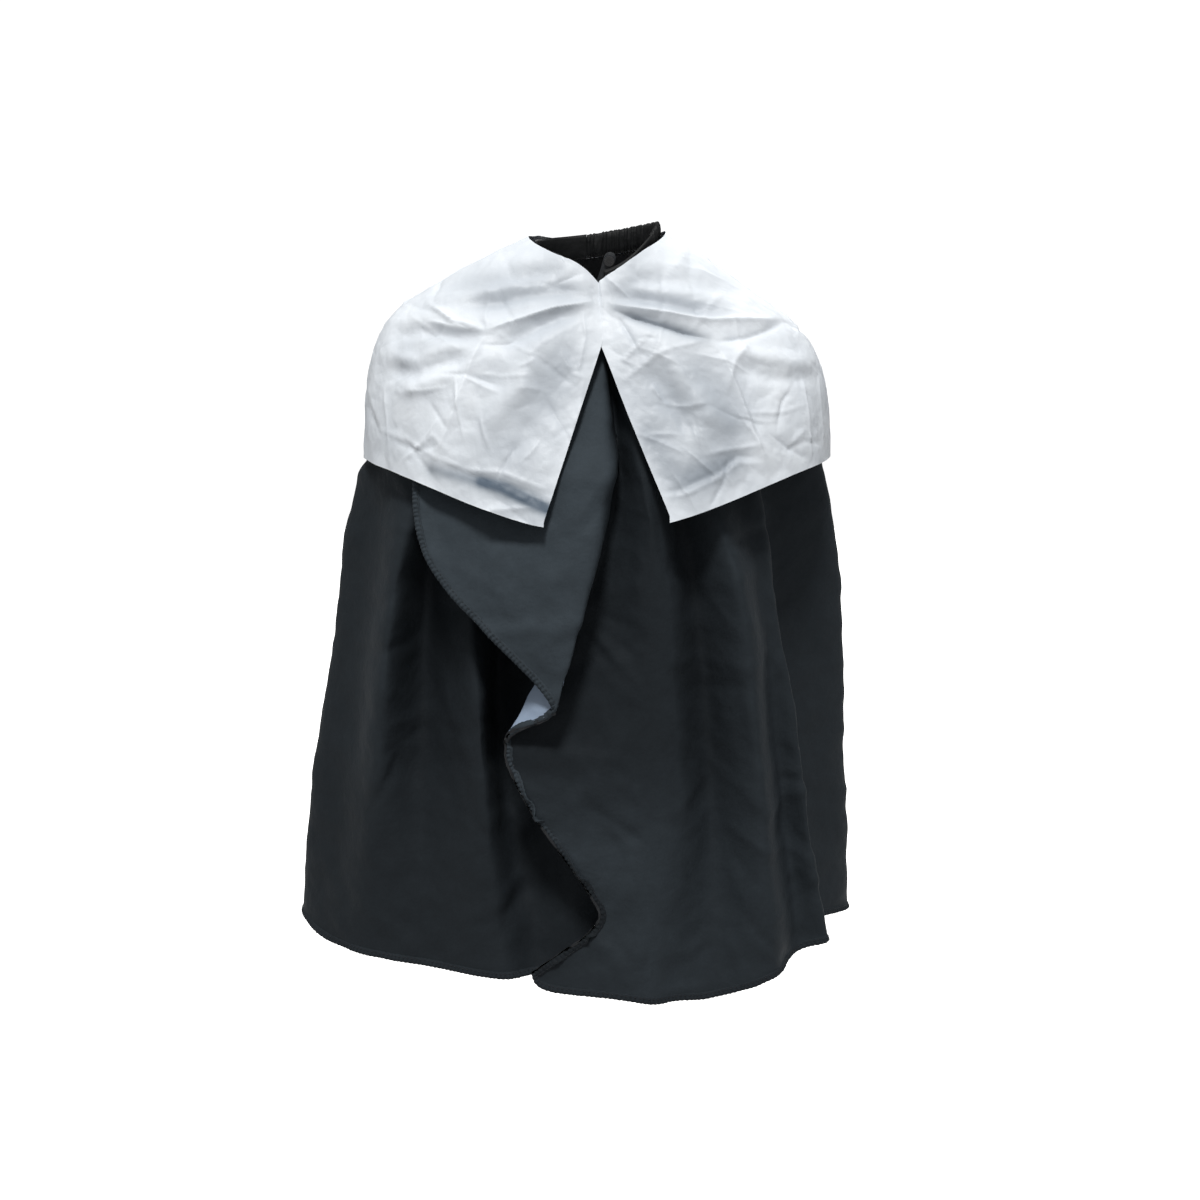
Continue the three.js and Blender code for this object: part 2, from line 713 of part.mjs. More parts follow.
const cape = new THREE.Group();
cape.add(
  named('cape_left_front_panel', leftFrontPanel(), bodyCloth()),
  named('cape_right_front_panel', rightFrontPanel(), bodyCloth()),
  named('cape_front_inset', frontInset(), bodyCloth()),
  named('cape_left_back_panel', backPanel(-1), bodyCloth()),
  named('cape_right_back_panel', backPanel(1), bodyCloth()),
  named('cape_lapel', lapel(), bodyCloth()),
  named('cape_front_flap', frontFlap(), bodyCloth()),
  named('lapel_edge_hem', lapelHem(), bodyCloth()),
  named('front_flap_edge_hem', flapEdgeHem(), bodyCloth()),
  named('left_bottom_hem', leftHem(), bodyCloth()),
  named('right_bottom_hem', rightHem(), bodyCloth()),
  named('front_flap_bottom_hem', flapHem(), bodyCloth()),
  named('back_bottom_hem', backHem(), bodyCloth()),
);
const bandStud = bandStudSeat();
const rightBandEnd = withHole(smoothBand(BAND_OPEN_ANGLE, GATHER_START_ANGLE - BAND_JOIN_ANGLE), bandStud);
const leftBandEnd = smoothBand(GATHER_END_ANGLE + BAND_JOIN_ANGLE, 4 * RIGHT_ANGLE - BAND_OPEN_ANGLE);
cape.add(
  named('neckband_gathered_casing', casing(GATHER_START_ANGLE, GATHER_END_ANGLE), bandCloth()),
  named('neckband_elastic', elastic(GATHER_START_ANGLE, GATHER_END_ANGLE), blackElastic()),
  named('neckband_right_end', rightBandEnd, bandCloth()),
  named('neckband_left_end', leftBandEnd, bandCloth()),
);
cape.add(neckStrap(), studAndPost(bandStud, 'neckband', BAND_CLOTH, blackPlastic()));

// The film's snap joins the two flaps where their front edges cross.
const snapLevel = levelAt(0, SNAP_Z);
const snapAngle = angleAtX(SNAP_X, snapLevel);
const capSeat = seatOn(snapAngle, snapLevel, FILM_TOP_LIFT);
const studSeat = seatOn(snapAngle, snapLevel, FILM_LIFT);
const filmSocket = named('shoulder_cape_snap_socket', turned(socketProfile), whitePlastic());
filmSocket.position.set(0, 0, -FILM - LAYER_GAP);
const leftFront = withHole(leftFilmFront(), capSeat);
const rightFlap = withHole(rightFilm(), studSeat);
capSeat.add(
  named('shoulder_cape_snap_cap', turned(capProfile(CAP_RADIUS, FILM)), whitePlastic()),
  filmSocket,
);
cape.add(
  named('shoulder_cape_left_side', leftFilmSide(), whiteFilm()),
  named('shoulder_cape_left_front', leftFront, whiteFilm()),
  named('shoulder_cape_right_flap', rightFlap, whiteFilm()),
  named('shoulder_cape_back', filmBack(), whiteFilm()),
  capSeat,
  studAndPost(studSeat, 'shoulder_cape', FILM, whitePlastic()),
);

export default cape;
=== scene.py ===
import math
from random import Random

import bpy
import numpy as np
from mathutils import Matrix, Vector, noise


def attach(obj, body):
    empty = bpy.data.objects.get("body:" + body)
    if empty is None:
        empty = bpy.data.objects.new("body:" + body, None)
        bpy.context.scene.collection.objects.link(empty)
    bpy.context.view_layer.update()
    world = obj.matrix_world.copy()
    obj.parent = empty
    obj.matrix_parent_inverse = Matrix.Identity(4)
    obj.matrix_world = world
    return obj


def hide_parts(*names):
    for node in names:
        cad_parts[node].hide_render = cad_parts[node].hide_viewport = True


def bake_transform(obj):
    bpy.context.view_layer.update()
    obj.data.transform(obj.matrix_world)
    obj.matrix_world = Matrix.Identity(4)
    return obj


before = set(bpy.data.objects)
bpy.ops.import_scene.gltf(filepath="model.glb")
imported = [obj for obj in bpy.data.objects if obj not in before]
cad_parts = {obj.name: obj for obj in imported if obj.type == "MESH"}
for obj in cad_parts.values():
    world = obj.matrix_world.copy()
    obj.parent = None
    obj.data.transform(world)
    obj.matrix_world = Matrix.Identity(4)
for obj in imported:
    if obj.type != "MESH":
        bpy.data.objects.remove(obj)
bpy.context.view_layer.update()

# Lengths below are in millimetres until a mesh is made. Angles run round the neck in degrees:
# 0 at the front (-Y), 90 at +X, 180 at the back, -90 at -X.
MM = 0.001
# Attribute of painted light and shade on the charcoal cloth: near 1 painted pale as lit, near 0 painted
# dark as shaded
PAINTED_LIGHT = "fade"

# --- Material detail ---------------------------------------------------------------------------
# Scale of the threads, bump strength and distance
WEAVE = (260.0, 0.2, 0.0003)
ROUGHNESS_SPREAD = 0.08
# Noise scale, detail and roughness of the colour variation
CLOTH_TONE = (70.0, 8.0, 0.7)
FILM_TONE = (18.0, 5.0, 0.6)
PLASTIC_TONE = (300.0, 3.0, 0.5)
# Noise scale, detail and roughness, then bump strength and distance, from coarse to fine
CLOTH_BUMPS = [(38.0, 6.0, 0.62, 0.4, 0.004), (120.0, 4.0, 0.55, 0.35, 0.0015),
               (520.0, 2.0, 0.6, 0.25, 0.0003)]
FILM_BUMPS = [(44.0, 6.0, 0.62, 0.4, 0.0025), (420.0, 2.0, 0.5, 0.12, 0.0003)]
PLASTIC_BUMP = (0.05, 0.0002)
FILM_ROUGHNESS = 0.46
FILM_SPECULAR = 0.28

# --- Camera, lights, floor ---------------------------------------------------------------------
CAMERA_PLACE = (0.003, -2.3, 0.1)
CAMERA_PITCH = 78.7
CAMERA_LENS = 67.3
FLOOR_Z = -1.45
FLOOR_SIZE = 14.0
FLOOR_GLOW = 1.2
EXPOSURE = -1.0
BACKDROP = 2.2
AMBIENT_LOW = 0.36
AMBIENT_HIGH = 1.15
AMBIENT_FADE = (-0.35, 1.0)
# name, direction it shines from, strength, angle, colour
LIGHTS = [
    ("key_light", (-0.1, -0.8, 1.5), 5.5, 11, (1.0, 0.99, 0.97)),
    ("back_light", (0.4, 1.2, 0.7), 1.3, 30, (0.97, 0.985, 1.0)),
]

# --- Neck ring ---------------------------------------------------------------------------------
NECK_HALF_WIDTH = 64
NECK_HALF_DEPTH = 58
NECK_SIDE_Z = -4
NECK_FRONT_Z = -42
NECK_BACK_Z = -8
NECK_TILT = 0.14

# --- Body cloth --------------------------------------------------------------------------------
CLOTH_THICKNESS = 0.7
HEM_EXTRA = 0.9
HEM_WIDTH = 7
YOKE_Z = -210
YOKE_ROWS = 34
ROW_STEP = 4.0
LAPEL_TIP_Z = -434
TURN_END_Z = -474
FLAP_TOP_Z = -250
HINGE_X = 52.7
HINGE_Y = -168.6
HINGE_Z = -471
HINGE_SLOPE = 0.072

# Each fold line runs down the cloth as (x, y, z) points. A neck angle says where it leaves the neck.
LAPEL_EDGE = [(-180, -108, -210), (-181, -112, -230), (-179, -120, -256), (-169, -132, -290),
              (-152, -144, -316), (-132, -154, -337), (-113, -162, -355), (-94, -168, -373),
              (-75, -174, -391), (-58, -179, -409), (-46, -184, -424), (-41, -186, -434)]
TURNED_EDGE = [(-41, -186, -434), (-46, -180, -441), (-60, -172, -449), (-76, -163, -457),
               (-87, -156, -465), (-90, -151, -474)]
FRONT_EDGE = [(-90, -151, -474), (-90, -151, -490), (-82, -154, -510), (-57, -160, -554),
              (-36, -165, -583), (-6, -170, -626), (3, -172, -645), (-8, -173, -664), (-34, -172, -684),
              (-65, -170, -707)]
CORNER_Z = -707
CORNER_DROP = 13
CORNER_PEAK = 9.5
CORNER_POWER = 3
CORNER_RISE = 45
RIDGE_A = [(8, -152, -210), (1, -168, -257), (-10, -183, -323), (-25, -189, -381), (-41, -186, -434)]
VALLEY_B = [(22, -106, -210), (14, -120, -255), (-13, -136, -332), (-36, -143, -376), (-60, -147, -415),
            (-90, -151, -474)]
HINGE_RIDGE = [(44, -142, -210), (52, -153, -250)]
# name, neck angle, points
FOLDS = [
    ("crest_right", 13, [(54, -138, -210), (70, -154, -320), (76, -160, -440), (82, -166, -571),
                         (78, -172, -735)]),
    ("valley_right", 18, [(74, -110, -210), (95, -120, -320), (108, -122, -440), (116, -134, -571),
                          (112, -164, -736)]),
    ("ridge_right", 30, [(101, -124, -210), (135, -146, -300), (156, -158, -460), (172, -164, -623),
                         (178, -160, -716)]),
    ("hollow_right", 44, [(132, -92, -210), (158, -98, -300), (178, -98, -463), (198, -96, -620),
                          (210, -104, -706)]),
    ("side_edge", 58, [(160, -78, -210), (183, -90, -363), (201, -98, -466), (219, -102, -602),
                       (238, -100, -699)]),
    ("side_under", 70, [(166, -36, -210), (178, -30, -363), (190, -28, -466), (203, -28, -602),
                        (218, -34, -702)]),
    ("side_right", 92, [(232, 6, -210), (256, 30, -321), (266, 48, -482), (276, 58, -716)]),
    ("back_right_1", 112, [(214, 58, -210), (226, 80, -321), (236, 92, -482), (246, 100, -716)]),
    ("back_right_2", 128, [(176, 78, -210), (184, 94, -321), (186, 106, -482), (190, 112, -716)]),
    ("back_right_3", 144, [(130, 104, -210), (136, 126, -321), (140, 142, -482), (142, 160, -716)]),
    ("back_right_4", 160, [(84, 108, -210), (86, 120, -321), (84, 132, -482), (80, 134, -716)]),
    ("back_middle_1", 174, [(30, 122, -210), (28, 142, -321), (24, 158, -482), (20, 166, -716)]),
    ("back_middle_2", 188, [(-20, 118, -210), (-26, 128, -321), (-34, 136, -482), (-44, 138, -716)]),
    ("back_left_4", 202, [(-76, 114, -210), (-86, 134, -321), (-96, 150, -482), (-108, 160, -716)]),
    ("back_left_3", 218, [(-124, 98, -210), (-136, 108, -321), (-150, 116, -482), (-168, 118, -716)]),
    ("back_left_2", 234, [(-172, 78, -210), (-186, 96, -321), (-204, 108, -482), (-226, 116, -716)]),
    ("back_left_1", 252, [(-212, 42, -210), (-226, 48, -321), (-246, 52, -482), (-272, 54, -710)]),
    ("side_left", 270, [(-236, 0, -210), (-247, 0, -224), (-249, 0, -236), (-259, 0, -275),
                        (-277, 0, -402), (-291, 0, -489), (-306, 0, -577), (-315, 0, -698)]),
    ("front_left_1", 286, [(-216, -52, -210), (-228, -48, -300), (-246, -42, -402), (-262, -46, -560),
                           (-288, -56, -710)]),
    ("front_left_2", 300, [(-172, -92, -210), (-196, -108, -300), (-210, -112, -390), (-226, -100, -560),
                           (-246, -92, -714)]),
    ("front_left_3", 314, [(-146, -70, -210), (-168, -66, -310), (-176, -64, -400), (-176, -94, -560),
                           (-178, -124, -716)]),
    ("front_left_4", 328, [(-116, -92, -210), (-126, -110, -340), (-118, -134, -440), (-112, -142, -536),
                           (-104, -148, -639), (-92, -157, -718)]),
    ("front_left_5", 340, [(-86, -76, -210), (-96, -62, -340), (-102, -66, -440), (-92, -84, -536),
                           (-72, -112, -639), (-58, -140, -718)]),
    ("underlap_1", 350, [(-36, -90, -210), (-40, -104, -356), (-38, -112, -440), (-28, -120, -536),
                         (-20, -130, -639), (-20, -146, -718)]),
    ("underlap_2", 362, [(16, -84, -210), (18, -100, -356), (22, -112, -440), (26, -124, -536),
                         (34, -136, -639), (40, -148, -718)]),
]
# Painted light and shade along each fold line, above and below LOW_FADE_Z: pale where a fold is lit, dark
# in valleys and under the flap; the lapel is painted palest, as lit
LOW_FADE_Z = -560
DARK_POWER = 4
LOW_FADE_ABOVE = 90
LOW_FADE_REACH = 120
FOLD_PAINTED_LIGHT = {"edge": (1.0, 0.62), "ridge": (0.92, 0.62), "valley": (0.05, 0.62), "hinge": (0.12, 0.5),
         "crest_right": (0.2, 0.45), "valley_right": (0.0, 0.3), "ridge_right": (0.34, 0.36),
         "hollow_right": (0.26, 0.3), "side_edge": (0.3, 0.3), "side_under": (0.25, 0.25),
         "side_right": (0.3, 0.25), "side_left": (0.12, 0.1), "front_left_1": (0.2, 0.08),
         "front_left_2": (0.34, 0.12), "front_left_3": (0.0, 0.1), "front_left_4": (0.16, 0.14),
         "front_left_5": (0.0, 0.05), "underlap_1": (0.0, 0.05), "underlap_2": (0.0, 0.05)}
BACK_FADE = (0.25, 0.22)
# Below this height the painted light on the flap dies away, most at its free edge
CORNER_DARK_END = -700
CORNER_DARK_REACH = 100
EDGE_NECK_ANGLE = -5
RIDGE_NECK_ANGLE = 4
VALLEY_NECK_ANGLE = 6.5
HINGE_NECK_ANGLE = 10
COLUMN_STEP = 4.5
LEAST_COLUMNS = 3
# Columns between the free edge, the first ridge, the valley and the hinge
FRONT_COLUMNS = (40, 14, 22)
WIDTH_ROW = 24
HEM_FRONT_Z = -733
# Rows from the neck whose inner face gets the dark hem cloth as painted shade
NECK_SHADE_ROWS = 30

# Creases in the body cloth, seen from the front as (x, z) points: height, half width, points
BODY_CREASES = [
    (1.3, 7, [(-2, -398), (47, -432), (90, -477), (139, -516), (174, -544), (208, -570)]),
    (0.9, 6, [(-2, -416), (6, -445), (34, -512)]),
    (1.6, 14, [(66, -545), (54, -650), (30, -704)]),
    (2.2, 16, [(-52, -478), (-4, -502)]),
    (1.5, 9, [(24, -164), (14, -238)]),
    (-1.2, 8, [(36, -180), (44, -260)]),
    (2.0, 10, [(-186, -262), (-205, -310), (-213, -355), (-224, -385)]),
    (1.0, 8, [(-232, -470), (-205, -560), (-196, -640)]),
    (-1.0, 9, [(-140, -420), (-150, -520), (-140, -620)]),
    (0.8, 6, [(120, -560), (150, -640), (160, -716)]),
    (0.8, 7, [(-110, -240), (-96, -330)]),
    (-0.7, 7, [(-60, -250), (-70, -340)]),
    (0.8, 6, [(-150, -250), (-130, -300), (-80, -330)]),
]
BODY_WAVES = [(3.2, 80.0, 3.0), (1.9, 32.0, 11.0), (0.6, 13.0, 23.0)]
CLOTH_CREASE_COUNT = 170
CLOTH_CREASE_TURNS = (-38, -60, 50, 12, 88)
CLOTH_CREASE_AREA = (-310, 280, -730, -180)
CLOTH_CREASE_LENGTHS = (50, 170)
CLOTH_CREASE_WIDTHS = (5.0, 10.0)
CLOTH_CREASE_HEIGHTS = (0.7, 1.8)
CLOTH_CREASE_SEED = 5
# Creases seen from the front or the back fade out towards the sides, from this depth on
FRONT_START = 20
FRONT_REACH = 40
# Relief is weaker over the shoulders and beside the hinge
RELIEF_TOP = 90
RELIEF_REACH = 60
YOKE_RELIEF = 0.4
HINGE_CALM = 3.0
PUCKER_STEP = 4.6
PUCKER_HEIGHT = 1.25
PUCKER_DRIFT = 0.35
PUCKER_DRIFT_LENGTH = 13.0
UNEVEN_LENGTH = 5.0
UNEVEN_SWELL = 0.5
UNEVEN_WIDTH = 0.4
BEAT_WIDTH = 0.5
HEM_STEP = 0.8
# Painted light on the hem strips, above and below HEM_FADE_END: the lapel's hem is painted pale higher up,
# as lit; the bottom hems keep one even value
LAPEL_HEM_LIGHT = (0.75, 0.0)
BOTTOM_HEM_FADE = (0.2, 0.2)
HEM_FADE_END = -650
HEM_FADE_REACH = 150
STITCH_INSET = 5.2
STITCH_RISE = 1.05
STITCH_LENGTH = 2.4
STITCH_RADIUS = 0.28
# Where in a pucker's length the stitch lies
STITCH_PHASE = 0.75
# Rings of one stitch: place along it in half lengths, share of its radius
STITCH_RINGS = ((-1.0, 0.35), (-0.5, 1.0), (0.5, 1.0), (1.0, 0.35))
STITCH_CORNERS = ((1, 0), (0, 1), (-1, 0), (0, -1))
# Round the hem: distance from the edge, height above the cloth's face, share of the puckers
HEM_PROFILE = [(7.4, -0.1, 0.0), (6.6, 0.5, 0.2), (5.2, 0.55, 0.1), (3.4, 0.75, 0.8), (1.2, 0.6, 1.0),
               (-0.3, -0.2, 0.3), (0.6, -1.7, 0.0), (3.4, -1.9, 0.0), (6.6, -1.6, 0.0)]

# --- Film shoulder cape ------------------------------------------------------------------------
FILM_THICKNESS = 0.25
FLAP_GRID_WIDTH = 330
BACK_GRID_WIDTH = 280
# Angles tried either side of the front when a row's free edge is looked for
TRIAL_REACH = 60
TRIAL_COUNT = 241
# How late the film's lower edge drops from the sides to the front and back
BOTTOM_POWER = 4
SEEN_CLOTH_AND_SHADE = "seen_cloth_and_shade"
# Where the film is painted greyer, seen from the front: partly dark cloth showing through where it lies
# close, partly painted shade along fold valleys and creases: amount, half width, points
LEFT_SEEN_CLOTH_AND_SHADE = [
    (0.30, 46, [(-50, -110), (-90, -180), (-70, -225)]),
    (0.55, 7, [(-160, -204), (-120, -212), (-90, -220), (-48, -238)]),
    (0.40, 6, [(-112, -212), (-90, -216), (-44, -236)]),
    (0.12, 30, [(-30, -70), (-40, -120)]),
    (0.20, 14, [(-14, -40), (-60, -36), (-110, -44)]),
    (0.16, 16, [(-40, -14), (-90, -22), (-140, -34)]),
    (0.16, 12, [(-190, -90), (-160, -84), (-120, -80)]),
    (0.12, 20, [(-210, -180), (-180, -190)]),
]
RIGHT_SEEN_CLOTH_AND_SHADE = [
    (0.34, 46, [(50, -120), (90, -170), (110, -200)]),
    (0.30, 14, [(48, -170), (80, -212), (130, -196)]),
    (0.30, 22, [(100, -110), (130, -160)]),
    (0.22, 12, [(16, -40), (70, -44), (124, -54)]),
    (0.30, 6, [(18, -52), (50, -62), (108, -80)]),
    (0.18, 14, [(20, -20), (36, -8)]),
]
# Painted shade: the film is greyer in hollows and lighter on raised folds, per mm of relief
HOLLOW_SHADE_PER_MM = 0.018
FILM_NECK_WIDTH = 69
FILM_NECK_DEPTH = 70
FILM_NECK_BACK = 66
FILM_NECK_LEFT = [(-90, 16), (-45, 4), (-9, -15), (8, -37), (30, -42)]
FILM_NECK_RIGHT = [(-30, -44), (-8, -40), (4, -24), (16, -14), (40, 3), (90, 21)]
FILM_BACK_NECK_Z = 9
FILM_HALF_WIDTH = 240
FILM_FRONT_DEPTH = 181
FILM_BACK_DEPTH = 134
FILM_SIDE_Z = -206
FILM_FRONT_Z = -258
FILM_BACK_Z = -222
LEFT_SHOULDER_Z = -63
RIGHT_SHOULDER_Z = -86
BODY_SHOULDER_Z = -88
FRONT_HUG = 0.6
BODY_HUG = 0.9
FILM_HUG = 1.0
SHOULDER_REACH = 0.965
CHEST_REACH = 0.5
BACK_REACH = 0.72
BACK_SHOULDER_Z = -64
FILM_ROWS = 130
FILM_COLUMN_STEP = 1.9
LEFT_EDGE = [(8, -37), (15, -44), (10, -66), (4, -86), (-14, -140), (-51, -249)]
RIGHT_EDGE = [(-8, -40), (-9, -52), (-3, -70), (4, -86), (30, -150), (70, -243)]
TOP_FLAP_LIFT = 2.2
FOLD_START = (-36.0, -66.3, -38.5)
FOLD_END = (-107.7, -149.3, -246.2)

# Folds and packing creases in the film, seen from the front: height, half width, sharpness, points
LEFT_FILM_FOLDS = [
    (-4.2, 9, 0, [(-8, -38), (-39, -34), (-68, -35), (-97, -43), (-140, -52)]),
    (3.4, 7, 1, [(-4, -45), (-39, -50), (-74, -61), (-109, -72)]),
    (-3.6, 9, 0, [(-30, -14), (-86, -22), (-125, -30), (-157, -38)]),
    (2.6, 8, 0, [(-27, -24), (-40, -29), (-84, -28), (-125, -36), (-176, -45)]),
    (-3.6, 9, 0, [(-9, -50), (-46, -62), (-73, -75), (-97, -86)]),
    (2.2, 5, 1, [(-109, -72), (-139, -64), (-164, -51)]),
    (1.6, 4, 1, [(-109, -73), (-141, -70), (-170, -64)]),
    (-3.0, 7, 0, [(-113, -80), (-146, -78), (-175, -72), (-197, -78), (-211, -92)]),
    (2.4, 9, 0, [(-112, -82), (-145, -91), (-174, -105), (-211, -99)]),
    (-2.6, 9, 0, [(-124, -90), (-155, -102), (-184, -112), (-217, -116)]),
    (2.2, 8, 0, [(-126, -108), (-160, -120), (-200, -136)]),
    (3.0, 12, 1, [(-108, -71), (-123, -103), (-138, -145), (-163, -212)]),
    (3.0, 15, 0, [(-23, -62), (-58, -90), (-76, -125), (-115, -161), (-128, -176)]),
    (-2.2, 14, 0, [(-90, -100), (-104, -130), (-124, -176)]),
    (0.9, 3, 1, [(-226, -169), (-187, -178), (-158, -192), (-123, -203), (-92, -204), (-40, -222)]),
    (-0.9, 6, 1, [(-150, -199), (-120, -208), (-90, -212), (-42, -230)]),
    (0.8, 3, 1, [(-14, -52), (-12, -80), (-18, -108), (-34, -104)]),
    (0.7, 3, 1, [(-36, -92), (-24, -112), (-8, -120)]),
    (0.7, 3, 1, [(-120, -112), (-84, -115), (-64, -116)]),
    (0.8, 3, 1, [(-97, -73), (-72, -90), (-58, -98)]),
    (0.7, 3, 1, [(-190, -200), (-172, -182), (-160, -172), (-140, -190)]),
    (-1.2, 5, 1, [(-205, -180), (-178, -188), (-150, -180)]),
    (0.9, 4, 1, [(-196, -204), (-170, -178), (-150, -150)]),
    (0.6, 3, 1, [(-212, -130), (-206, -190)]),
    (-0.9, 8, 0, [(-60, -150), (-84, -190)]),
    (0.8, 8, 0, [(-36, -150), (-54, -210)]),
]
RIGHT_FILM_FOLDS = [
    (-4.4, 7, 0, [(13, -41), (42, -40), (71, -45), (100, -51), (126, -55)]),
    (-2.6, 9, 0, [(20, -33), (42, -24), (65, -22), (104, -28), (153, -40)]),
    (3.6, 7, 1, [(12, -46), (71, -56), (107, -63), (144, -64), (189, -66)]),
    (-4.2, 5, 1, [(16, -53), (47, -62), (77, -71), (108, -80)]),
    (-2.4, 5, 1, [(115, -84), (148, -80), (187, -69)]),
    (3.0, 12, 1, [(111, -81), (124, -98), (137, -127), (166, -208)]),
    (-1.6, 7, 1, [(125, -98), (142, -132), (162, -180)]),
    (1.1, 4, 1, [(22, -122), (55, -97), (74, -89), (107, -80)]),
    (-1.0, 5, 1, [(62, -222), (83, -218), (118, -203), (137, -190), (165, -194)]),
    (1.0, 3, 1, [(62, -227), (83, -225), (118, -210), (137, -197), (165, -199)]),
    (2.6, 12, 0, [(41, -66), (64, -88), (91, -127), (133, -176)]),
    (-2.4, 11, 0, [(50, -104), (70, -134), (96, -172)]),
    (0.8, 3, 1, [(56, -138), (89, -143), (112, -140)]),
    (0.7, 3, 1, [(66, -140), (80, -168), (41, -169)]),
    (0.7, 3, 1, [(41, -169), (62, -176), (86, -187)]),
    (-1.6, 4, 1, [(22, -60), (34, -80), (40, -92)]),
    (1.0, 3, 1, [(52, -74), (38, -88), (26, -100), (36, -104)]),
    (2.0, 8, 0, [(118, -86), (150, -96), (190, -104), (222, -110)]),
    (-1.6, 8, 0, [(130, -104), (170, -118), (224, -124)]),
    (0.6, 3, 1, [(140, -150), (180, -152), (210, -146)]),
    (0.6, 3, 1, [(176, -198), (196, -178), (206, -170), (222, -196)]),
    (-1.0, 5, 1, [(180, -190), (205, -182), (226, -188)]),
    (0.7, 3, 1, [(204, -110), (214, -206)]),
    (0.6, 3, 1, [(222, -120), (228, -200)]),
    (0.6, 3, 1, [(60, -8), (100, -14), (140, -30)]),
]
FOLD_GAIN = 1.7
PACKING_COUNT = 90
PACKING_TURNS = (-24, 8, 62, 84, 118)
PACKING_HEIGHT = (0.9, 2.3)
PACKING_AREA = (-235, 235, -250, -10)
PACKING_LENGTHS = (22, 80)
PACKING_WIDTHS = (2.5, 6.0)
# Height, size and seed of the soft waves and of the sharp little facets
FILM_WAVE = (1.6, 60.0, 5.0)
CRUMPLES = [(2.0, 34.0, 4.0), (0.6, 11.0, 9.0)]
FILM_FRONT_START = 40
FILM_FRONT_REACH = 40
# Share of dark cloth showing through the film anywhere, and where the front's own share of see-through
# grey and painted shade begins
LEAST_VEIL = 0.06
VEIL_START = 20
VEIL_REACH = 60
VEIL_WAVE = (0.07, 38.0, 7.0)
# The top flap starts to rise off the lower one here
LIFT_START = -60
LIFT_REACH = 50

# --- Neckband ----------------------------------------------------------------------------------
BAND_HEIGHT = 25
BAND_OPEN = 6
GATHER_START = 60
GATHER_END = 190
BAND_WALL = 1.6
GATHER_WALL = 4.4
GATHER_STEP = 5.6
GATHER_COLUMN = 0.7
BAND_COLUMN = 2.0
# Outline of the band's section: share of its height, share of its wall
BAND_PROFILE = [(0.0, 0.0), (0.12, 0.35), (0.3, 0.5), (0.5, 0.5), (0.7, 0.5), (0.88, 0.35), (1.0, 0.0),
                (0.9, -0.35), (0.7, -0.5), (0.5, -0.5), (0.3, -0.5), (0.1, -0.35)]
BAND_GAP = 0.4
BAND_RAISE = 0.5
# Gathers: the beat's drift and its length, the frill's length, the steering of a pucker up the band
GATHER_DRIFT = 2.4
GATHER_DRIFT_LENGTH = 9.0
FRILL_LENGTH = 3.0
STEER_LENGTH = 14.0
STEER = 0.6
# Depth of puckers and frill, and how much of it the inner face has
PUCKER_DEPTH = 0.95
FRILL_DEPTH = 0.7
INNER_SHARE = 0.9
# Unevenness of the top and bottom edges
BEAT_LIFT = 1.0
FRILL_LIFT = 1.4
# The smooth ends' unevenness: depth, length, and how much it turns up the band
BAND_RIPPLE = (0.5, 16.0, 1.5)
SMALL = 1e-6
FAR = 1e9

# --- How a fold line rises and ends ------------------------------------------------------------
END_KEPT = 0.15
SHARP_FALL = 1.6
CREASE_FADE = 0.4
FILM_FOLD_FADE = 0.3
TURN_SPREAD = 16
BEND_SHARE = 0.08

# --- Neck strap --------------------------------------------------------------------------------
STRAP_ROOT = (3, -51.4, -36)
STRAP_LEAN = 17
STRAP_WIDTH = 12
STRAP_LENGTH = 40
STRAP_WALL = 1.7
STRAP_SEAM = 1.8
STRAP_SIDES = [-1.0, -0.92, -0.84, -0.76, -0.7, -0.64, -0.5, -0.25, 0.0, 0.25, 0.5, 0.64, 0.7, 0.76, 0.84,
               0.92, 1.0]
STRAP_ROWS = 40
STRAP_END_ROWS = 12
# The sewn groove's depth and half width
SEAM_DEPTH = 0.35
SEAM_HALF_WIDTH = 0.5
# The rounded edge's width, and the padded middle's rise and the width that it rises over
EDGE_ROUND = 1.0
PAD_RISE = 0.25
PAD_WIDTH = 4.0
# The strap's unevenness: depth, turns across, length
STRAP_RIPPLE = (0.12, 3.0, 4.0)
# Share of the thickness left at the very end
LEAST_END = 0.3


def clamp(value):
    return np.clip(value, 0.0, 1.0)


def smooth(value):
    value = clamp(value)
    return value * value * (3 - 2 * value)


def mix(a, b, share):
    return a + (b - a) * share


def through(at, places, values):
    """A smooth curve through values at rising places, evaluated at each of at."""
    places = np.asarray(places, float)
    values = np.asarray(values, float)
    slopes = np.gradient(values, places)
    at = np.clip(np.asarray(at, float), places[0], places[-1])
    cell = np.clip(np.searchsorted(places, at) - 1, 0, len(places) - 2)
    width = places[cell + 1] - places[cell]
    t = (at - places[cell]) / width
    start = (1 + 2 * t) * (1 - t) ** 2 * values[cell] + t * (1 - t) ** 2 * width * slopes[cell]
    end = t * t * (3 - 2 * t) * values[cell + 1] + t * t * (t - 1) * width * slopes[cell + 1]
    return start + end


def line_at(points, z):
    """x and y of a fold line at each height z."""
    ordered = sorted(points, key=lambda point: point[2])
    heights = [point[2] for point in ordered]
    x = through(z, heights, [point[0] for point in ordered])
    y = through(z, heights, [point[1] for point in ordered])
    return x, y


def neck_seam(angle):
    """The neck seam's point at one angle."""
    turn = math.radians(angle)
    cosine = math.cos(turn)
    end_z = NECK_FRONT_Z if cosine > 0 else NECK_BACK_Z
    x = NECK_HALF_WIDTH * math.sin(turn)
    z = mix(NECK_SIDE_Z, end_z, cosine * cosine) + NECK_TILT * x
    return np.array([x, -NECK_HALF_DEPTH * cosine, z])


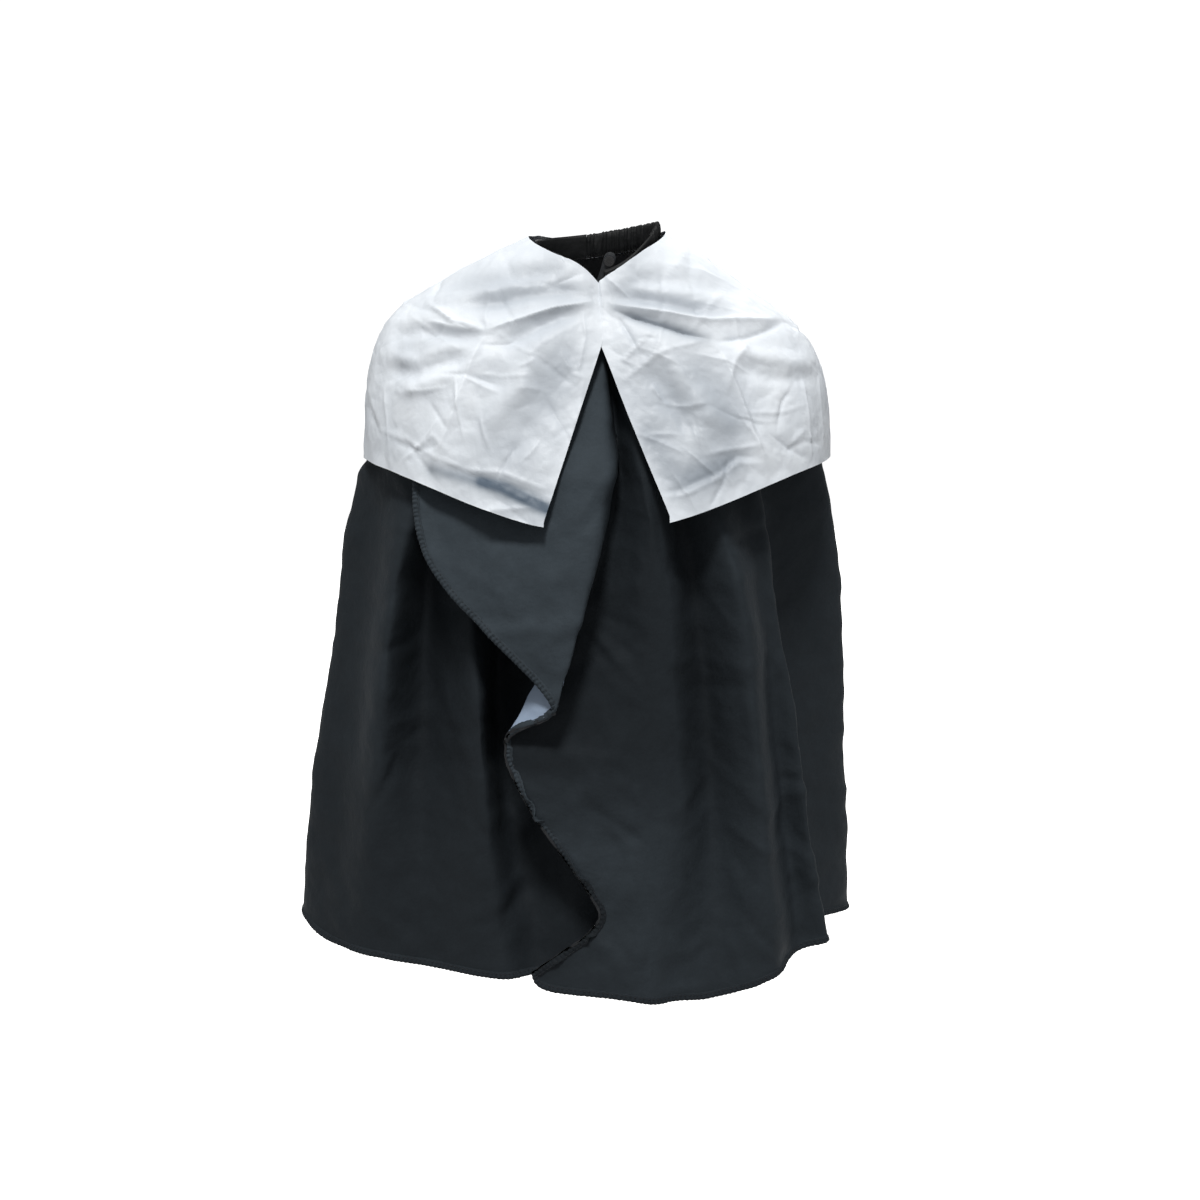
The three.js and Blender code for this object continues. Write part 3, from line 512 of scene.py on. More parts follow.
def bow(start, corner, end, tightness, t):
    """A curve from start to end that rounds a corner: higher tightness hugs the corner."""
    first = start + (corner - start) * tightness
    second = end + (corner - end) * tightness
    s = 1 - t
    return (s ** 3 * start + 3 * s * s * t * first + 3 * s * t * t * second + t ** 3 * end)


def shoulder_curve(start, end, angle, side_z, hug, t):
    """Runs from the neck over the shoulder to end. Round at the sides, nearly straight at the front."""
    turn = math.radians(angle)
    side = math.sin(turn) ** 2
    middle_reach = CHEST_REACH if math.cos(turn) > 0 else BACK_REACH
    middle_z = (start[2] + end[2]) / 2 if math.cos(turn) > 0 else BACK_SHOULDER_Z
    reach = mix(middle_reach, SHOULDER_REACH, side)
    corner = start + (end - start) * reach
    corner[2] = mix(middle_z, side_z, side)
    return bow(start, corner, end, mix(FRONT_HUG, hug, side), t)


def wave(points, height, size, seed):
    """Smooth noise on each point."""
    shift = Vector((seed, seed * 1.7, seed * 0.6))
    return height * np.array([noise.noise(Vector(p) / size + shift) for p in points])


def distance_to(points, line):
    """Distance of each 2-D point from a polyline, and how far along it the nearest spot is, 0 to 1."""
    line = np.asarray(line, float)
    lengths = np.linalg.norm(np.diff(line, axis=0), axis=1)
    before = np.concatenate([[0], np.cumsum(lengths)])
    best = np.full(len(points), FAR)
    along = np.zeros(len(points))
    for start, end, length, offset in zip(line[:-1], line[1:], lengths, before):
        direction = (end - start) / length
        run = np.clip((points - start) @ direction, 0, length)
        gap = np.linalg.norm(points - start - run[:, None] * direction, axis=1)
        nearer = gap < best
        best = np.where(nearer, gap, best)
        along = np.where(nearer, (offset + run) / before[-1], along)
    return best, along


def fold_height(points, height, half_width, sharp, line, fade=0.2):
    """Height of one fold at each 2-D point. A sharp fold has a straight-sided ridge."""
    gap, along = distance_to(points, line)
    ends = smooth(np.minimum(along, 1 - along) / fade + END_KEPT)
    ratio = gap / half_width
    rounded = np.exp(-ratio * ratio)
    pointed = np.exp(-SHARP_FALL * ratio)
    return height * ends * (pointed if sharp else rounded)


def grid_normals(grid):
    """Unit normals of a (rows, columns, 3) grid that runs down and to the viewer's right."""
    down = np.gradient(grid, axis=0)
    across = np.gradient(grid, axis=1)
    normal = np.cross(down, across)
    length = np.linalg.norm(normal, axis=2, keepdims=True)
    normal = np.where(length > SMALL, normal / np.maximum(length, SMALL), 0)
    return normal


def joined_rows(points, counts):
    """Smooth rows through fold points. points is (rows, folds, 3), counts the columns per gap."""
    rows, folds, _ = points.shape
    first = 2 * points[:, 0] - points[:, 1]
    last = 2 * points[:, -1] - points[:, -2]
    whole = np.concatenate([first[:, None], points, last[:, None]], axis=1)
    gaps = np.sqrt(np.maximum(np.linalg.norm(np.diff(whole, axis=1), axis=2), 0.3))
    columns = []
    for fold in range(folds - 1):
        p0, p1, p2, p3 = (whole[:, fold + k] for k in range(4))
        t01, t12, t23 = (gaps[:, fold + k][:, None] for k in range(3))
        slope_1 = t12 * ((p1 - p0) / t01 - (p2 - p0) / (t01 + t12) + (p2 - p1) / t12)
        slope_2 = t12 * ((p2 - p1) / t12 - (p3 - p1) / (t12 + t23) + (p3 - p2) / t23)
        steps = counts[fold]
        for step in range(steps):
            t = step / steps
            columns.append((1 + 2 * t) * (1 - t) ** 2 * p1 + t * (1 - t) ** 2 * slope_1
                           + t * t * (3 - 2 * t) * p2 + t * t * (t - 1) * slope_2)
    columns.append(points[:, -1])
    return np.stack(columns, axis=1)


def body_rows():
    """Fold points of the body cloth: (rows, folds, 3), from the free front edge round to the underlap."""
    count = int((YOKE_Z - HEM_FRONT_Z) / ROW_STEP)
    fall = np.linspace(0, 1, count + 1)
    hinge_z = mix(YOKE_Z, HEM_FRONT_Z, fall)
    base_z = mix(YOKE_Z, CORNER_Z, fall)
    edge_x, edge_y = line_at(LAPEL_EDGE, base_z)
    turned_x, turned_y = line_at(TURNED_EDGE, base_z)
    front_x, front_y = line_at(FRONT_EDGE, base_z)
    ridge_x, ridge_y = line_at(RIDGE_A, base_z)
    valley_x, valley_y = line_at(VALLEY_B, base_z)
    hinge_x, hinge_y = line_at(HINGE_RIDGE, hinge_z)
    straight = HINGE_Y + HINGE_SLOPE * (hinge_z - HINGE_Z)
    low = hinge_z <= FLAP_TOP_Z + SMALL
    hinge_x = np.where(low, HINGE_X, hinge_x)
    hinge_y = np.where(low, straight, hinge_y)
    above_tip = base_z > LAPEL_TIP_Z
    above_end = base_z > TURN_END_Z
    lines = [
        (np.where(above_tip, edge_x, np.where(above_end, turned_x, front_x)),
         np.where(above_tip, edge_y, np.where(above_end, turned_y, front_y)), base_z),
        (np.where(above_tip, ridge_x, np.where(above_end, turned_x, front_x)),
         np.where(above_tip, ridge_y, np.where(above_end, turned_y, front_y)), base_z),
        (np.where(above_end, valley_x, front_x), np.where(above_end, valley_y, front_y), base_z),
        (hinge_x, hinge_y, hinge_z),
    ]
    for _, _, points in FOLDS:
        z = mix(YOKE_Z, points[-1][2], fall)
        x, y = line_at(points, z)
        lines.append((x, y, z))
    return np.stack([np.stack(line, axis=1) for line in lines], axis=1)


def yoke_rows(top, angles):
    """Rows of fold points from the neck seam down to the first body row."""
    lines = []
    for fold, angle in enumerate(angles):
        start = neck_seam(angle)
        lines.append([shoulder_curve(start, top[fold], angle, BODY_SHOULDER_Z, BODY_HUG, row / YOKE_ROWS)
                      for row in range(YOKE_ROWS)])
    return np.array(lines).transpose(1, 0, 2)


# --- Materials ---------------------------------------------------------------------------------
def new_material(name):
    material = bpy.data.materials.new(name)
    material.use_nodes = True
    return material, material.node_tree.nodes, material.node_tree.links


def mapped(nodes, links, stretch):
    """Object coordinates, stretched per axis."""
    place = nodes.new("ShaderNodeTexCoord")
    scale = nodes.new("ShaderNodeMapping")
    scale.inputs["Scale"].default_value = stretch
    links.new(place.outputs["Object"], scale.inputs["Vector"])
    return scale.outputs["Vector"]


def noise_node(nodes, links, vector, scale, detail, rough):
    node = nodes.new("ShaderNodeTexNoise")
    node.inputs["Scale"].default_value = scale
    node.inputs["Detail"].default_value = detail
    node.inputs["Roughness"].default_value = rough
    links.new(vector, node.inputs["Vector"])
    return node.outputs["Fac"]


def ramp_node(nodes, links, value, stops):
    node = nodes.new("ShaderNodeValToRGB")
    ramp = node.color_ramp
    ramp.elements[0].position, ramp.elements[0].color = stops[0][0], (*stops[0][1], 1)
    ramp.elements[1].position, ramp.elements[1].color = stops[-1][0], (*stops[-1][1], 1)
    for position, color in stops[1:-1]:
        element = ramp.elements.new(position)
        element.color = (*color, 1)
    links.new(value, node.inputs["Fac"])
    return node.outputs["Color"]


def bump_node(nodes, links, height, strength, distance, before=None):
    node = nodes.new("ShaderNodeBump")
    node.inputs["Strength"].default_value = strength
    node.inputs["Distance"].default_value = distance
    links.new(height, node.inputs["Height"])
    if before is not None:
        links.new(before, node.inputs["Normal"])
    return node.outputs["Normal"]


def noise_bumps(nodes, links, vector, table):
    """Noise bumps laid over one another."""
    normal = None
    for scale, detail, rough, strength, distance in table:
        height = noise_node(nodes, links, vector, scale, detail, rough)
        normal = bump_node(nodes, links, height, strength, distance, normal)
    return normal


def weave_node(nodes, links, vector, scale):
    """Crossed threads: the product of two fine waves."""
    waves = []
    for direction in ("X", "Z"):
        node = nodes.new("ShaderNodeTexWave")
        node.bands_direction = direction
        node.inputs["Scale"].default_value = scale
        node.inputs["Distortion"].default_value = 0.6
        node.inputs["Detail"].default_value = 1.0
        links.new(vector, node.inputs["Vector"])
        waves.append(node.outputs["Fac"])
    cross = nodes.new("ShaderNodeMath")
    cross.operation = "MULTIPLY"
    links.new(waves[0], cross.inputs[0])
    links.new(waves[1], cross.inputs[1])
    return cross.outputs["Value"]


def cloth_material(name, dark, light, roughness, specular=0.25, lit_colors=None):
    """Fine woven cloth with slightly uneven colour. The last argument is the paler colour painted in as
    light where the cloth is lit.
    """
    material, nodes, links = new_material(name)
    shader = nodes["Principled BSDF"]
    vector = mapped(nodes, links, (1, 1, 1))
    tone = noise_node(nodes, links, vector, *CLOTH_TONE)
    color = ramp_node(nodes, links, tone, [(0.25, dark), (0.8, light)])
    # Painted light: the paler colour is blended in by the fade attribute where the cloth is lit
    if lit_colors is not None:
        fade = nodes.new("ShaderNodeAttribute")
        fade.attribute_name = PAINTED_LIGHT
        blend = nodes.new("ShaderNodeMix")
        blend.data_type = "RGBA"
        links.new(fade.outputs["Fac"], blend.inputs["Factor"])
        links.new(color, blend.inputs["A"])
        links.new(ramp_node(nodes, links, tone, [(0.25, lit_colors[0]), (0.8, lit_colors[1])]), blend.inputs["B"])
        color = blend.outputs["Result"]
    links.new(color, shader.inputs["Base Color"])
    scale, strength, distance = WEAVE
    threads = weave_node(nodes, links, vector, scale)
    fine = noise_bumps(nodes, links, vector, CLOTH_BUMPS)
    links.new(bump_node(nodes, links, threads, strength, distance, fine), shader.inputs["Normal"])
    rough = nodes.new("ShaderNodeMapRange")
    rough.inputs["To Min"].default_value = roughness - ROUGHNESS_SPREAD
    rough.inputs["To Max"].default_value = roughness + ROUGHNESS_SPREAD
    links.new(tone, rough.inputs["Value"])
    links.new(rough.outputs["Result"], shader.inputs["Roughness"])
    shader.inputs["Specular IOR Level"].default_value = specular
    return material


def film_material(name, dark, light, seen_cloth_and_shade_color, alpha):
    """Thin glossy white film with faint stretch marks, painted greyer by an attribute: dark cloth showing
    through where it lies close, and painted shade in hollows and fold valleys.
    """
    material, nodes, links = new_material(name)
    shader = nodes["Principled BSDF"]
    vector = mapped(nodes, links, (1, 1, 1))
    tone = noise_node(nodes, links, vector, *FILM_TONE)
    plain = ramp_node(nodes, links, tone, [(0.3, dark), (0.72, light)])
    seen_cloth_and_shade = nodes.new("ShaderNodeAttribute")
    seen_cloth_and_shade.attribute_name = SEEN_CLOTH_AND_SHADE
    blend = nodes.new("ShaderNodeMix")
    blend.data_type = "RGBA"
    links.new(seen_cloth_and_shade.outputs["Fac"], blend.inputs["Factor"])
    links.new(plain, blend.inputs["A"])
    blend.inputs["B"].default_value = (*seen_cloth_and_shade_color, 1)
    links.new(blend.outputs["Result"], shader.inputs["Base Color"])
    links.new(noise_bumps(nodes, links, vector, FILM_BUMPS), shader.inputs["Normal"])
    shader.inputs["Roughness"].default_value = FILM_ROUGHNESS
    shader.inputs["Specular IOR Level"].default_value = FILM_SPECULAR
    shader.inputs["Alpha"].default_value = alpha
    return material


def plastic_material(name, dark, light, roughness):
    material, nodes, links = new_material(name)
    shader = nodes["Principled BSDF"]
    vector = mapped(nodes, links, (1, 1, 1))
    tone = noise_node(nodes, links, vector, *PLASTIC_TONE)
    links.new(ramp_node(nodes, links, tone, [(0.3, dark), (0.7, light)]), shader.inputs["Base Color"])
    links.new(bump_node(nodes, links, tone, *PLASTIC_BUMP), shader.inputs["Normal"])
    shader.inputs["Roughness"].default_value = roughness
    return material


outer_cloth = cloth_material("charcoal_cloth", (0.0085, 0.0108, 0.0132), (0.0125, 0.0158, 0.019),
                             0.74, 0.08, ((0.037, 0.047, 0.056), (0.047, 0.060, 0.072)))
reverse_cloth = cloth_material("pale_reverse", (0.25, 0.32, 0.43), (0.31, 0.385, 0.50), 0.7)
# Black hem cloth, also put on the inner face near the neck as painted shade
hem_cloth = cloth_material("hem_cloth", (0.008, 0.009, 0.011), (0.015, 0.017, 0.02), 0.7)
band_cloth = cloth_material("band_cloth", (0.0025, 0.003, 0.0036), (0.007, 0.008, 0.009), 0.6, 0.3)
strap_cloth = cloth_material("strap_cloth", (0.02, 0.022, 0.025), (0.032, 0.035, 0.04), 0.62)
thread_material = cloth_material("thread", (0.012, 0.013, 0.015), (0.02, 0.022, 0.026), 0.6)
# The last colour is the painted grey of seen-through cloth and painted shade
white_film = film_material("white_film", (0.80, 0.85, 0.91), (0.88, 0.925, 0.975),
                           (0.10, 0.135, 0.18), 0.93)
white_plastic = plastic_material("white_plastic", (0.84, 0.85, 0.86), (0.92, 0.92, 0.92), 0.28)
black_plastic = plastic_material("black_plastic", (0.012, 0.012, 0.013), (0.02, 0.02, 0.022), 0.35)


# --- Meshes ------------------------------------------------------------------------------------
def make_object(name, vertices, faces, materials, face_material=None, normals=None):
    """A smooth mesh object, in metres, from millimetre points."""
    mesh = bpy.data.meshes.new(name)
    mesh.from_pydata((np.asarray(vertices) * MM).tolist(), [], faces)
    for material in materials:
        mesh.materials.append(material)
    mesh.polygons.foreach_set("use_smooth", [True] * len(mesh.polygons))
    if face_material is not None:
        mesh.polygons.foreach_set("material_index", face_material)
    if normals is not None:
        mesh.normals_split_custom_set_from_vertices(normals)
    mesh.update()
    made = bpy.data.objects.new(name, mesh)
    bpy.context.scene.collection.objects.link(made)
    return made


def tube_sides(rows, ring):
    """Side faces of a tube, made of rows of rings of points."""
    faces = []
    for row in range(rows - 1):
        for k in range(ring):
            a = row * ring + k
            b = row * ring + (k + 1) % ring
            faces.append([a, b, b + ring, a + ring])
    return faces


def tube_ends(rows, ring):
    """Faces that close both ends of a tube."""
    last = (rows - 1) * ring
    return [list(range(ring)), [last + k for k in reversed(range(ring))]]


def turned_over(faces):
    return [face[::-1] for face in faces]


def sheet_object(name, grid, normals, thickness, materials, face_rows):
    """A two-sided sheet from a grid. materials are outer, inner and rim.

    face_rows(row, column) gives the material of an inner face. Corners that fall together are welded.
    """
    rows, columns, _ = grid.shape
    points = grid.reshape(-1, 3)
    keys = np.round(points, 2)
    _, first, index = np.unique(keys, axis=0, return_index=True, return_inverse=True)
    index = index.reshape(-1)
    count = len(first)
    total = np.zeros((count, 3))
    np.add.at(total, index, normals.reshape(-1, 3))
    total /= np.maximum(np.linalg.norm(total, axis=1, keepdims=True), SMALL)
    depth = np.zeros(count)
    depth[index] = np.broadcast_to(thickness, (rows, columns)).reshape(-1)
    outer = points[first]
    inner = outer - total * depth[:, None]
    where = index.reshape(rows, columns)
    faces = []
    kinds = []
    edges = set()

    def add(corners, kind):
        kept = []
        for corner in corners:
            if not kept or kept[-1] != corner:
                kept.append(corner)
        if len(kept) > 1 and kept[0] == kept[-1]:
            kept.pop()
        if len(set(kept)) < 3 or len(set(kept)) != len(kept):
            return None
        for k in range(1, len(kept) - 1):
            faces.append([kept[0], kept[k], kept[k + 1]])
            kinds.append(kind)
        return kept

    for row in range(rows - 1):
        for column in range(columns - 1):
            a, b = int(where[row, column]), int(where[row + 1, column])
            c, d = int(where[row + 1, column + 1]), int(where[row, column + 1])
            kept = add([a, b, c, d], 0)
            if kept:
                under = [kept[0]] + kept[:0:-1]
                add([corner + count for corner in under], face_rows(row, column))
                for start, end in zip(kept, kept[1:] + kept[:1]):
                    edges.add((start, end))
    for start, end in sorted(edges):
        if (end, start) not in edges:
            faces.append([end, start, start + count, end + count])
            kinds.append(2)
    vertices = np.concatenate([outer, inner])
    vertex_normals = np.concatenate([total, -total])
    return make_object(name, vertices, faces, materials, kinds, vertex_normals.tolist())


def paint(piece, name, grid, values):
    """Stores one value per grid point on a sheet made from that grid."""
    keys = np.round(grid.reshape(-1, 3), 2)
    _, first = np.unique(keys, axis=0, return_index=True)
    picked = values.reshape(-1)[first]
    attribute = piece.data.attributes.new(name, "FLOAT", "POINT")
    attribute.data.foreach_set("value", np.concatenate([picked, picked]).astype(np.float32))


def used_columns(row):
    """How many columns each gap between folds gets, from its width in one row."""
    widths = np.linalg.norm(np.diff(row, axis=0), axis=1)
    return [max(LEAST_COLUMNS, int(math.ceil(width / COLUMN_STEP))) for width in widths]


# --- Body cloth --------------------------------------------------------------------------------
fold_angles = [EDGE_NECK_ANGLE, RIDGE_NECK_ANGLE, VALLEY_NECK_ANGLE, HINGE_NECK_ANGLE]
fold_angles += [angle for _, angle, _ in FOLDS]
lower = body_rows()
upper = yoke_rows(lower[0], fold_angles)
fold_points = np.concatenate([upper, lower])
gap_columns = used_columns(fold_points[len(upper) + WIDTH_ROW])
gap_columns[:len(FRONT_COLUMNS)] = FRONT_COLUMNS
body_grid = joined_rows(fold_points, gap_columns)
hinge_column = sum(gap_columns[:3])
panel_start = sum(gap_columns[:2])
share = np.linspace(0, 1, gap_columns[2] + 1)
corner = CORNER_DROP * CORNER_PEAK * share * (1 - share) ** CORNER_POWER
nearness = smooth(1 - (body_grid[-1, hinge_column, 2] - body_grid[:, hinge_column, 2]) / -CORNER_RISE)
body_grid[:, panel_start:hinge_column + 1, 2] -= nearness[:, None] * corner[None, :]
body_normals = grid_normals(body_grid)


def scattered_creases(seed, count, turns, area, lengths, widths, heights):
    """Straight-ish creases left by folding, scattered over an area seen from the front."""
    random = Random(seed)
    creases = []
    for _ in range(count):
        x, z = random.uniform(area[0], area[1]), random.uniform(area[2], area[3])
        turn = math.radians(random.choice(turns) + random.uniform(-TURN_SPREAD, TURN_SPREAD))
        length = random.uniform(*lengths)
        run, drop = length * math.cos(turn), length * math.sin(turn)
        bend = length * random.uniform(-BEND_SHARE, BEND_SHARE)
        line = [(x, z), (x + run / 2 + bend, z + drop / 2 - bend), (x + run, z + drop)]
        creases.append((random.choice((-1, 1)) * random.uniform(*heights), random.uniform(*widths), line))
    return creases


def body_relief(grid):
    """How far each point of the body cloth stands off its smooth shape."""
    points = grid.reshape(-1, 3)
    height = np.zeros(len(points))
    for size, length, seed in BODY_WAVES:
        height += wave(points, size, length, seed)
    face = points[:, [0, 2]]
    front = smooth((-points[:, 1] - FRONT_START) / FRONT_REACH)
    for rise, half_width, line in BODY_CREASES:
        height += front * fold_height(face, rise, half_width, False, line)
    facing = smooth((np.abs(points[:, 1]) - FRONT_START) / FRONT_REACH)
    creases = scattered_creases(CLOTH_CREASE_SEED, CLOTH_CREASE_COUNT, CLOTH_CREASE_TURNS,
                                CLOTH_CREASE_AREA, CLOTH_CREASE_LENGTHS, CLOTH_CREASE_WIDTHS,
                                CLOTH_CREASE_HEIGHTS)
    for rise, half_width, line in creases:
        height += facing * fold_height(face, rise, half_width, False, line, CREASE_FADE)
    return height.reshape(grid.shape[:2])


def painted_cloth_light(grid):
    """Painted light and shade at each grid point: pale on lit ridges and the lapel, dark in valleys and
    under the flap.
    """
    names = ["edge", "ridge", "valley", "hinge"] + [name for name, _, _ in FOLDS]
    places = np.concatenate([[0], np.cumsum(gap_columns)])
    columns = np.arange(grid.shape[1])
    painted_lights = [FOLD_PAINTED_LIGHT.get(name, BACK_FADE) for name in names]
    high, low = (np.interp(columns, places, [pair[k] for pair in painted_lights]) for k in (0, 1))
    low[:panel_start] = FOLD_PAINTED_LIGHT["edge"][1]
    lowness = smooth((LOW_FADE_Z + LOW_FADE_ABOVE - grid[:, :, 2]) / LOW_FADE_REACH)
    collapsed = (grid[:, :, 2] < TURN_END_Z) & (columns <= panel_start)[None, :]
    share = np.where(collapsed, 1.0, lowness)
    painted_lightness = mix(high[None, :], low[None, :], share)
    # The painted light fades out towards the flap's bottom corner, most at its free edge
    corner_dark = smooth((grid[:, :, 2] - CORNER_DARK_END) / CORNER_DARK_REACH)
    on_flap = (columns < hinge_column)[None, :] * (1 - (columns / hinge_column)[None, :] ** DARK_POWER)
    return clamp(painted_lightness * mix(1.0, corner_dark, on_flap))


# Painted light and shade of the body cloth, one value per grid point
fade = painted_cloth_light(body_grid)
relief = body_relief(body_grid)
fixed = smooth((YOKE_Z + RELIEF_TOP - body_grid[:, :, 2]) / RELIEF_REACH)
columns_away = np.abs(np.arange(body_grid.shape[1]) - hinge_column)
off_hinge = 1 - np.exp(-(columns_away / HINGE_CALM) ** 2)
relief = relief * mix(YOKE_RELIEF, 1.0, fixed) * off_hinge[None, :]
body_grid = body_grid + body_normals * relief[:, :, None]
body_normals = grid_normals(body_grid)

row_count, column_count, _ = body_grid.shape
flap_row = int(np.argmin(np.abs(body_grid[:, hinge_column, 2] - FLAP_TOP_Z)))


def edge_distance(grid):
    """Distance of each point from its row's first column, along the row."""
    steps = np.linalg.norm(np.diff(grid, axis=1), axis=2)
    return np.concatenate([np.zeros((grid.shape[0], 1)), np.cumsum(steps, axis=1)], axis=1)


def hem_thickness(grid):
    """Cloth thickness with its turned hems, and the distance to the nearest free edge."""
    across = edge_distance(grid)
    down = np.linalg.norm(np.diff(grid, axis=0), axis=2)
    up = np.concatenate([np.cumsum(down[::-1], axis=0)[::-1], np.zeros((1, grid.shape[1]))], axis=0)
    closest = np.minimum(np.minimum(up, across), across[:, -1:] - across)
    return CLOTH_THICKNESS + HEM_EXTRA * (closest < HEM_WIDTH), closest


thickness, hem_gap = hem_thickness(body_grid)


def inner_kind(gap, first_row):
    """Material index of inner faces: dark hem cloth on a hem and, as painted shade, on the inner face near
    the neck; pale elsewhere.
    """
    def kind(row, column):
        on_hem = gap[row, column] < HEM_WIDTH and gap[row + 1, column + 1] < HEM_WIDTH
        return 2 if on_hem or row + first_row < NECK_SHADE_ROWS else 1
    return kind


cloth_materials = [outer_cloth, reverse_cloth, hem_cloth]
slices = {
    "yoke_front": (slice(0, flap_row + 1), slice(0, hinge_column + 1)),
    "flap": (slice(flap_row, row_count), slice(0, hinge_column + 1)),
    "main": (slice(0, row_count), slice(hinge_column, column_count)),
}


def body_piece(name, which):
    rows, columns = slices[which]
    gap = hem_gap[rows, columns]
    made = sheet_object(name, body_grid[rows, columns], body_normals[rows, columns],
                        thickness[rows, columns], cloth_materials, inner_kind(gap, rows.start))
    # Stores the painted light and shade on the piece
    paint(made, PAINTED_LIGHT, body_grid[rows, columns], fade[rows, columns])
    return made


cape_front = body_piece("cape_lapel_top", "yoke_front")
cape_flap = body_piece("cape_wrap_front", "flap")
cape_cloth = body_piece("cape_body_cloth", "main")
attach(cape_front, "cape")
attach(cape_cloth, "cape")
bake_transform(cape_flap)
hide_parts("cape_left_front_panel", "cape_right_front_panel", "cape_left_back_panel",
            "cape_right_back_panel", "left_bottom_hem", "right_bottom_hem", "back_bottom_hem")
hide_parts("cape_front_inset", "cape_lapel", "lapel_edge_hem")
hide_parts("cape_front_flap", "front_flap_edge_hem", "front_flap_bottom_hem")


# --- Hems --------------------------------------------------------------------------------------
def resampled(path, step):
    """Points, and any columns beside them, at even steps along a path."""
    lengths = np.linalg.norm(np.diff(path[:, :3], axis=0), axis=1)
    kept = np.concatenate([[True], lengths > SMALL])
    path = path[kept]
    along = np.concatenate([[0], np.cumsum(lengths[kept[1:]])])
    places = np.arange(0, along[-1], step)
    return places, np.stack([np.interp(places, along, path[:, k]) for k in range(path.shape[1])], axis=1)


def unit(vectors):
    return vectors / np.maximum(np.linalg.norm(vectors, axis=1, keepdims=True), SMALL)


def hem_frame(edge, inside, normals):
    """Even points along an edge, with the directions into the cloth and out of its face."""
    places, data = resampled(np.concatenate([edge, inside - edge, normals], axis=1), HEM_STEP)
    points = data[:, :3]
    along = unit(np.gradient(points, axis=0))
    into = unit(data[:, 3:6] - along * np.sum(data[:, 3:6] * along, axis=1, keepdims=True))
    face = unit(np.cross(into, along))
    face *= np.sign(np.sum(face * data[:, 6:9], axis=1, keepdims=True))
    return places, points, into, face


def hem_strip(name, edge, inside, normals, seed, painted_lights):
    """The turned hem: a narrow folded strip over the cloth's edge, puckered between its stitches."""
    places, points, into, face = hem_frame(edge, inside, normals)
    vertices = []
    for place, point, inward, out in zip(places, points, into, face):
        drift = PUCKER_DRIFT * noise.noise(Vector((place / PUCKER_DRIFT_LENGTH, seed, 0.0)))
        beat = (1 + math.sin(2 * math.pi * (place / PUCKER_STEP + drift))) / 2
        uneven = noise.noise(Vector((place / UNEVEN_LENGTH, seed, 4.0)))
        swell = PUCKER_HEIGHT * (beat + UNEVEN_SWELL * uneven)
        wide = BEAT_WIDTH * beat + UNEVEN_WIDTH * uneven
        for run, rise, share in HEM_PROFILE:
            vertices.append(point + inward * (run - wide * (1 - share)) + out * (rise + swell * share))
    ring = len(HEM_PROFILE)
    faces = [[a, d, c, b] for a, b, c, d in tube_sides(len(places), ring)]
    faces += tube_ends(len(places), ring)
    made = make_object(name, vertices, faces, [outer_cloth])
    # Painted light: the hem is paler higher up, where the lapel is lit, darker lower down
    high, low = painted_lights
    painted_lightness = mix(low, high, smooth((np.array(vertices)[:, 2] - HEM_FADE_END) / HEM_FADE_REACH))
    attribute = made.data.attributes.new(PAINTED_LIGHT, "FLOAT", "POINT")
    attribute.data.foreach_set("value", painted_lightness.astype(np.float32))
    return made


def stitch_row(name, edge, inside, normals):
    """Small thread stitches, one in each hollow of the hem."""
    places, points, into, face = hem_frame(edge, inside, normals)
    along = unit(np.gradient(points, axis=0))
    vertices = []
    faces = []
    rings, sides = len(STITCH_RINGS), len(STITCH_CORNERS)
    tube = tube_sides(rings, sides) + turned_over(tube_ends(rings, sides))
    for number in range(int(places[-1] / PUCKER_STEP)):
        row = min(int((number + STITCH_PHASE) * PUCKER_STEP / HEM_STEP), len(places) - 1)
        centre = points[row] + into[row] * STITCH_INSET + face[row] * STITCH_RISE
        base = len(vertices)
        for run, size in STITCH_RINGS:
            middle = centre + along[row] * run * STITCH_LENGTH / 2
            for across, up in STITCH_CORNERS:
                spot = into[row] * across + face[row] * up
                vertices.append(middle + spot * STITCH_RADIUS * size)
        faces += [[base + k for k in corners] for corners in tube]
    return make_object(name, vertices, faces, [thread_material])


def upright_edge():
    """The free front edge from the neck to the corner: its points, points inside it, and normals."""
    across = edge_distance(body_grid)
    rows = np.arange(row_count)
    beyond = np.argmax(across > HEM_WIDTH, axis=1)
    start, end = across[rows, beyond - 1], across[rows, beyond]
    share = ((HEM_WIDTH - start) / (end - start))[:, None]
    inside = mix(body_grid[rows, beyond - 1], body_grid[rows, beyond], share)
    return body_grid[:, 0], inside, body_normals[rows, beyond]


def bottom_edge(columns):
    return body_grid[-1, columns], body_grid[-3, columns], body_normals[-2, columns]


front_hem = hem_strip("front_edge_hem_fold", *upright_edge(), 2.0, LAPEL_HEM_LIGHT)
front_stitches = stitch_row("front_edge_stitches", *upright_edge())
flap_columns = slice(panel_start, hinge_column + 1)
flap_hem = hem_strip("wrap_bottom_hem_fold", *bottom_edge(flap_columns), 5.0, BOTTOM_HEM_FADE)
flap_stitches = stitch_row("wrap_bottom_stitches", *bottom_edge(flap_columns))
main_columns = slice(hinge_column, column_count)
main_hem = hem_strip("cape_bottom_hem_fold", *bottom_edge(main_columns), 8.0, BOTTOM_HEM_FADE)
main_stitches = stitch_row("cape_bottom_stitches", *bottom_edge(main_columns))
for piece in (front_hem, front_stitches, flap_hem, flap_stitches):
    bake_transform(piece)
for piece in (main_hem, main_stitches):
    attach(piece, "cape")


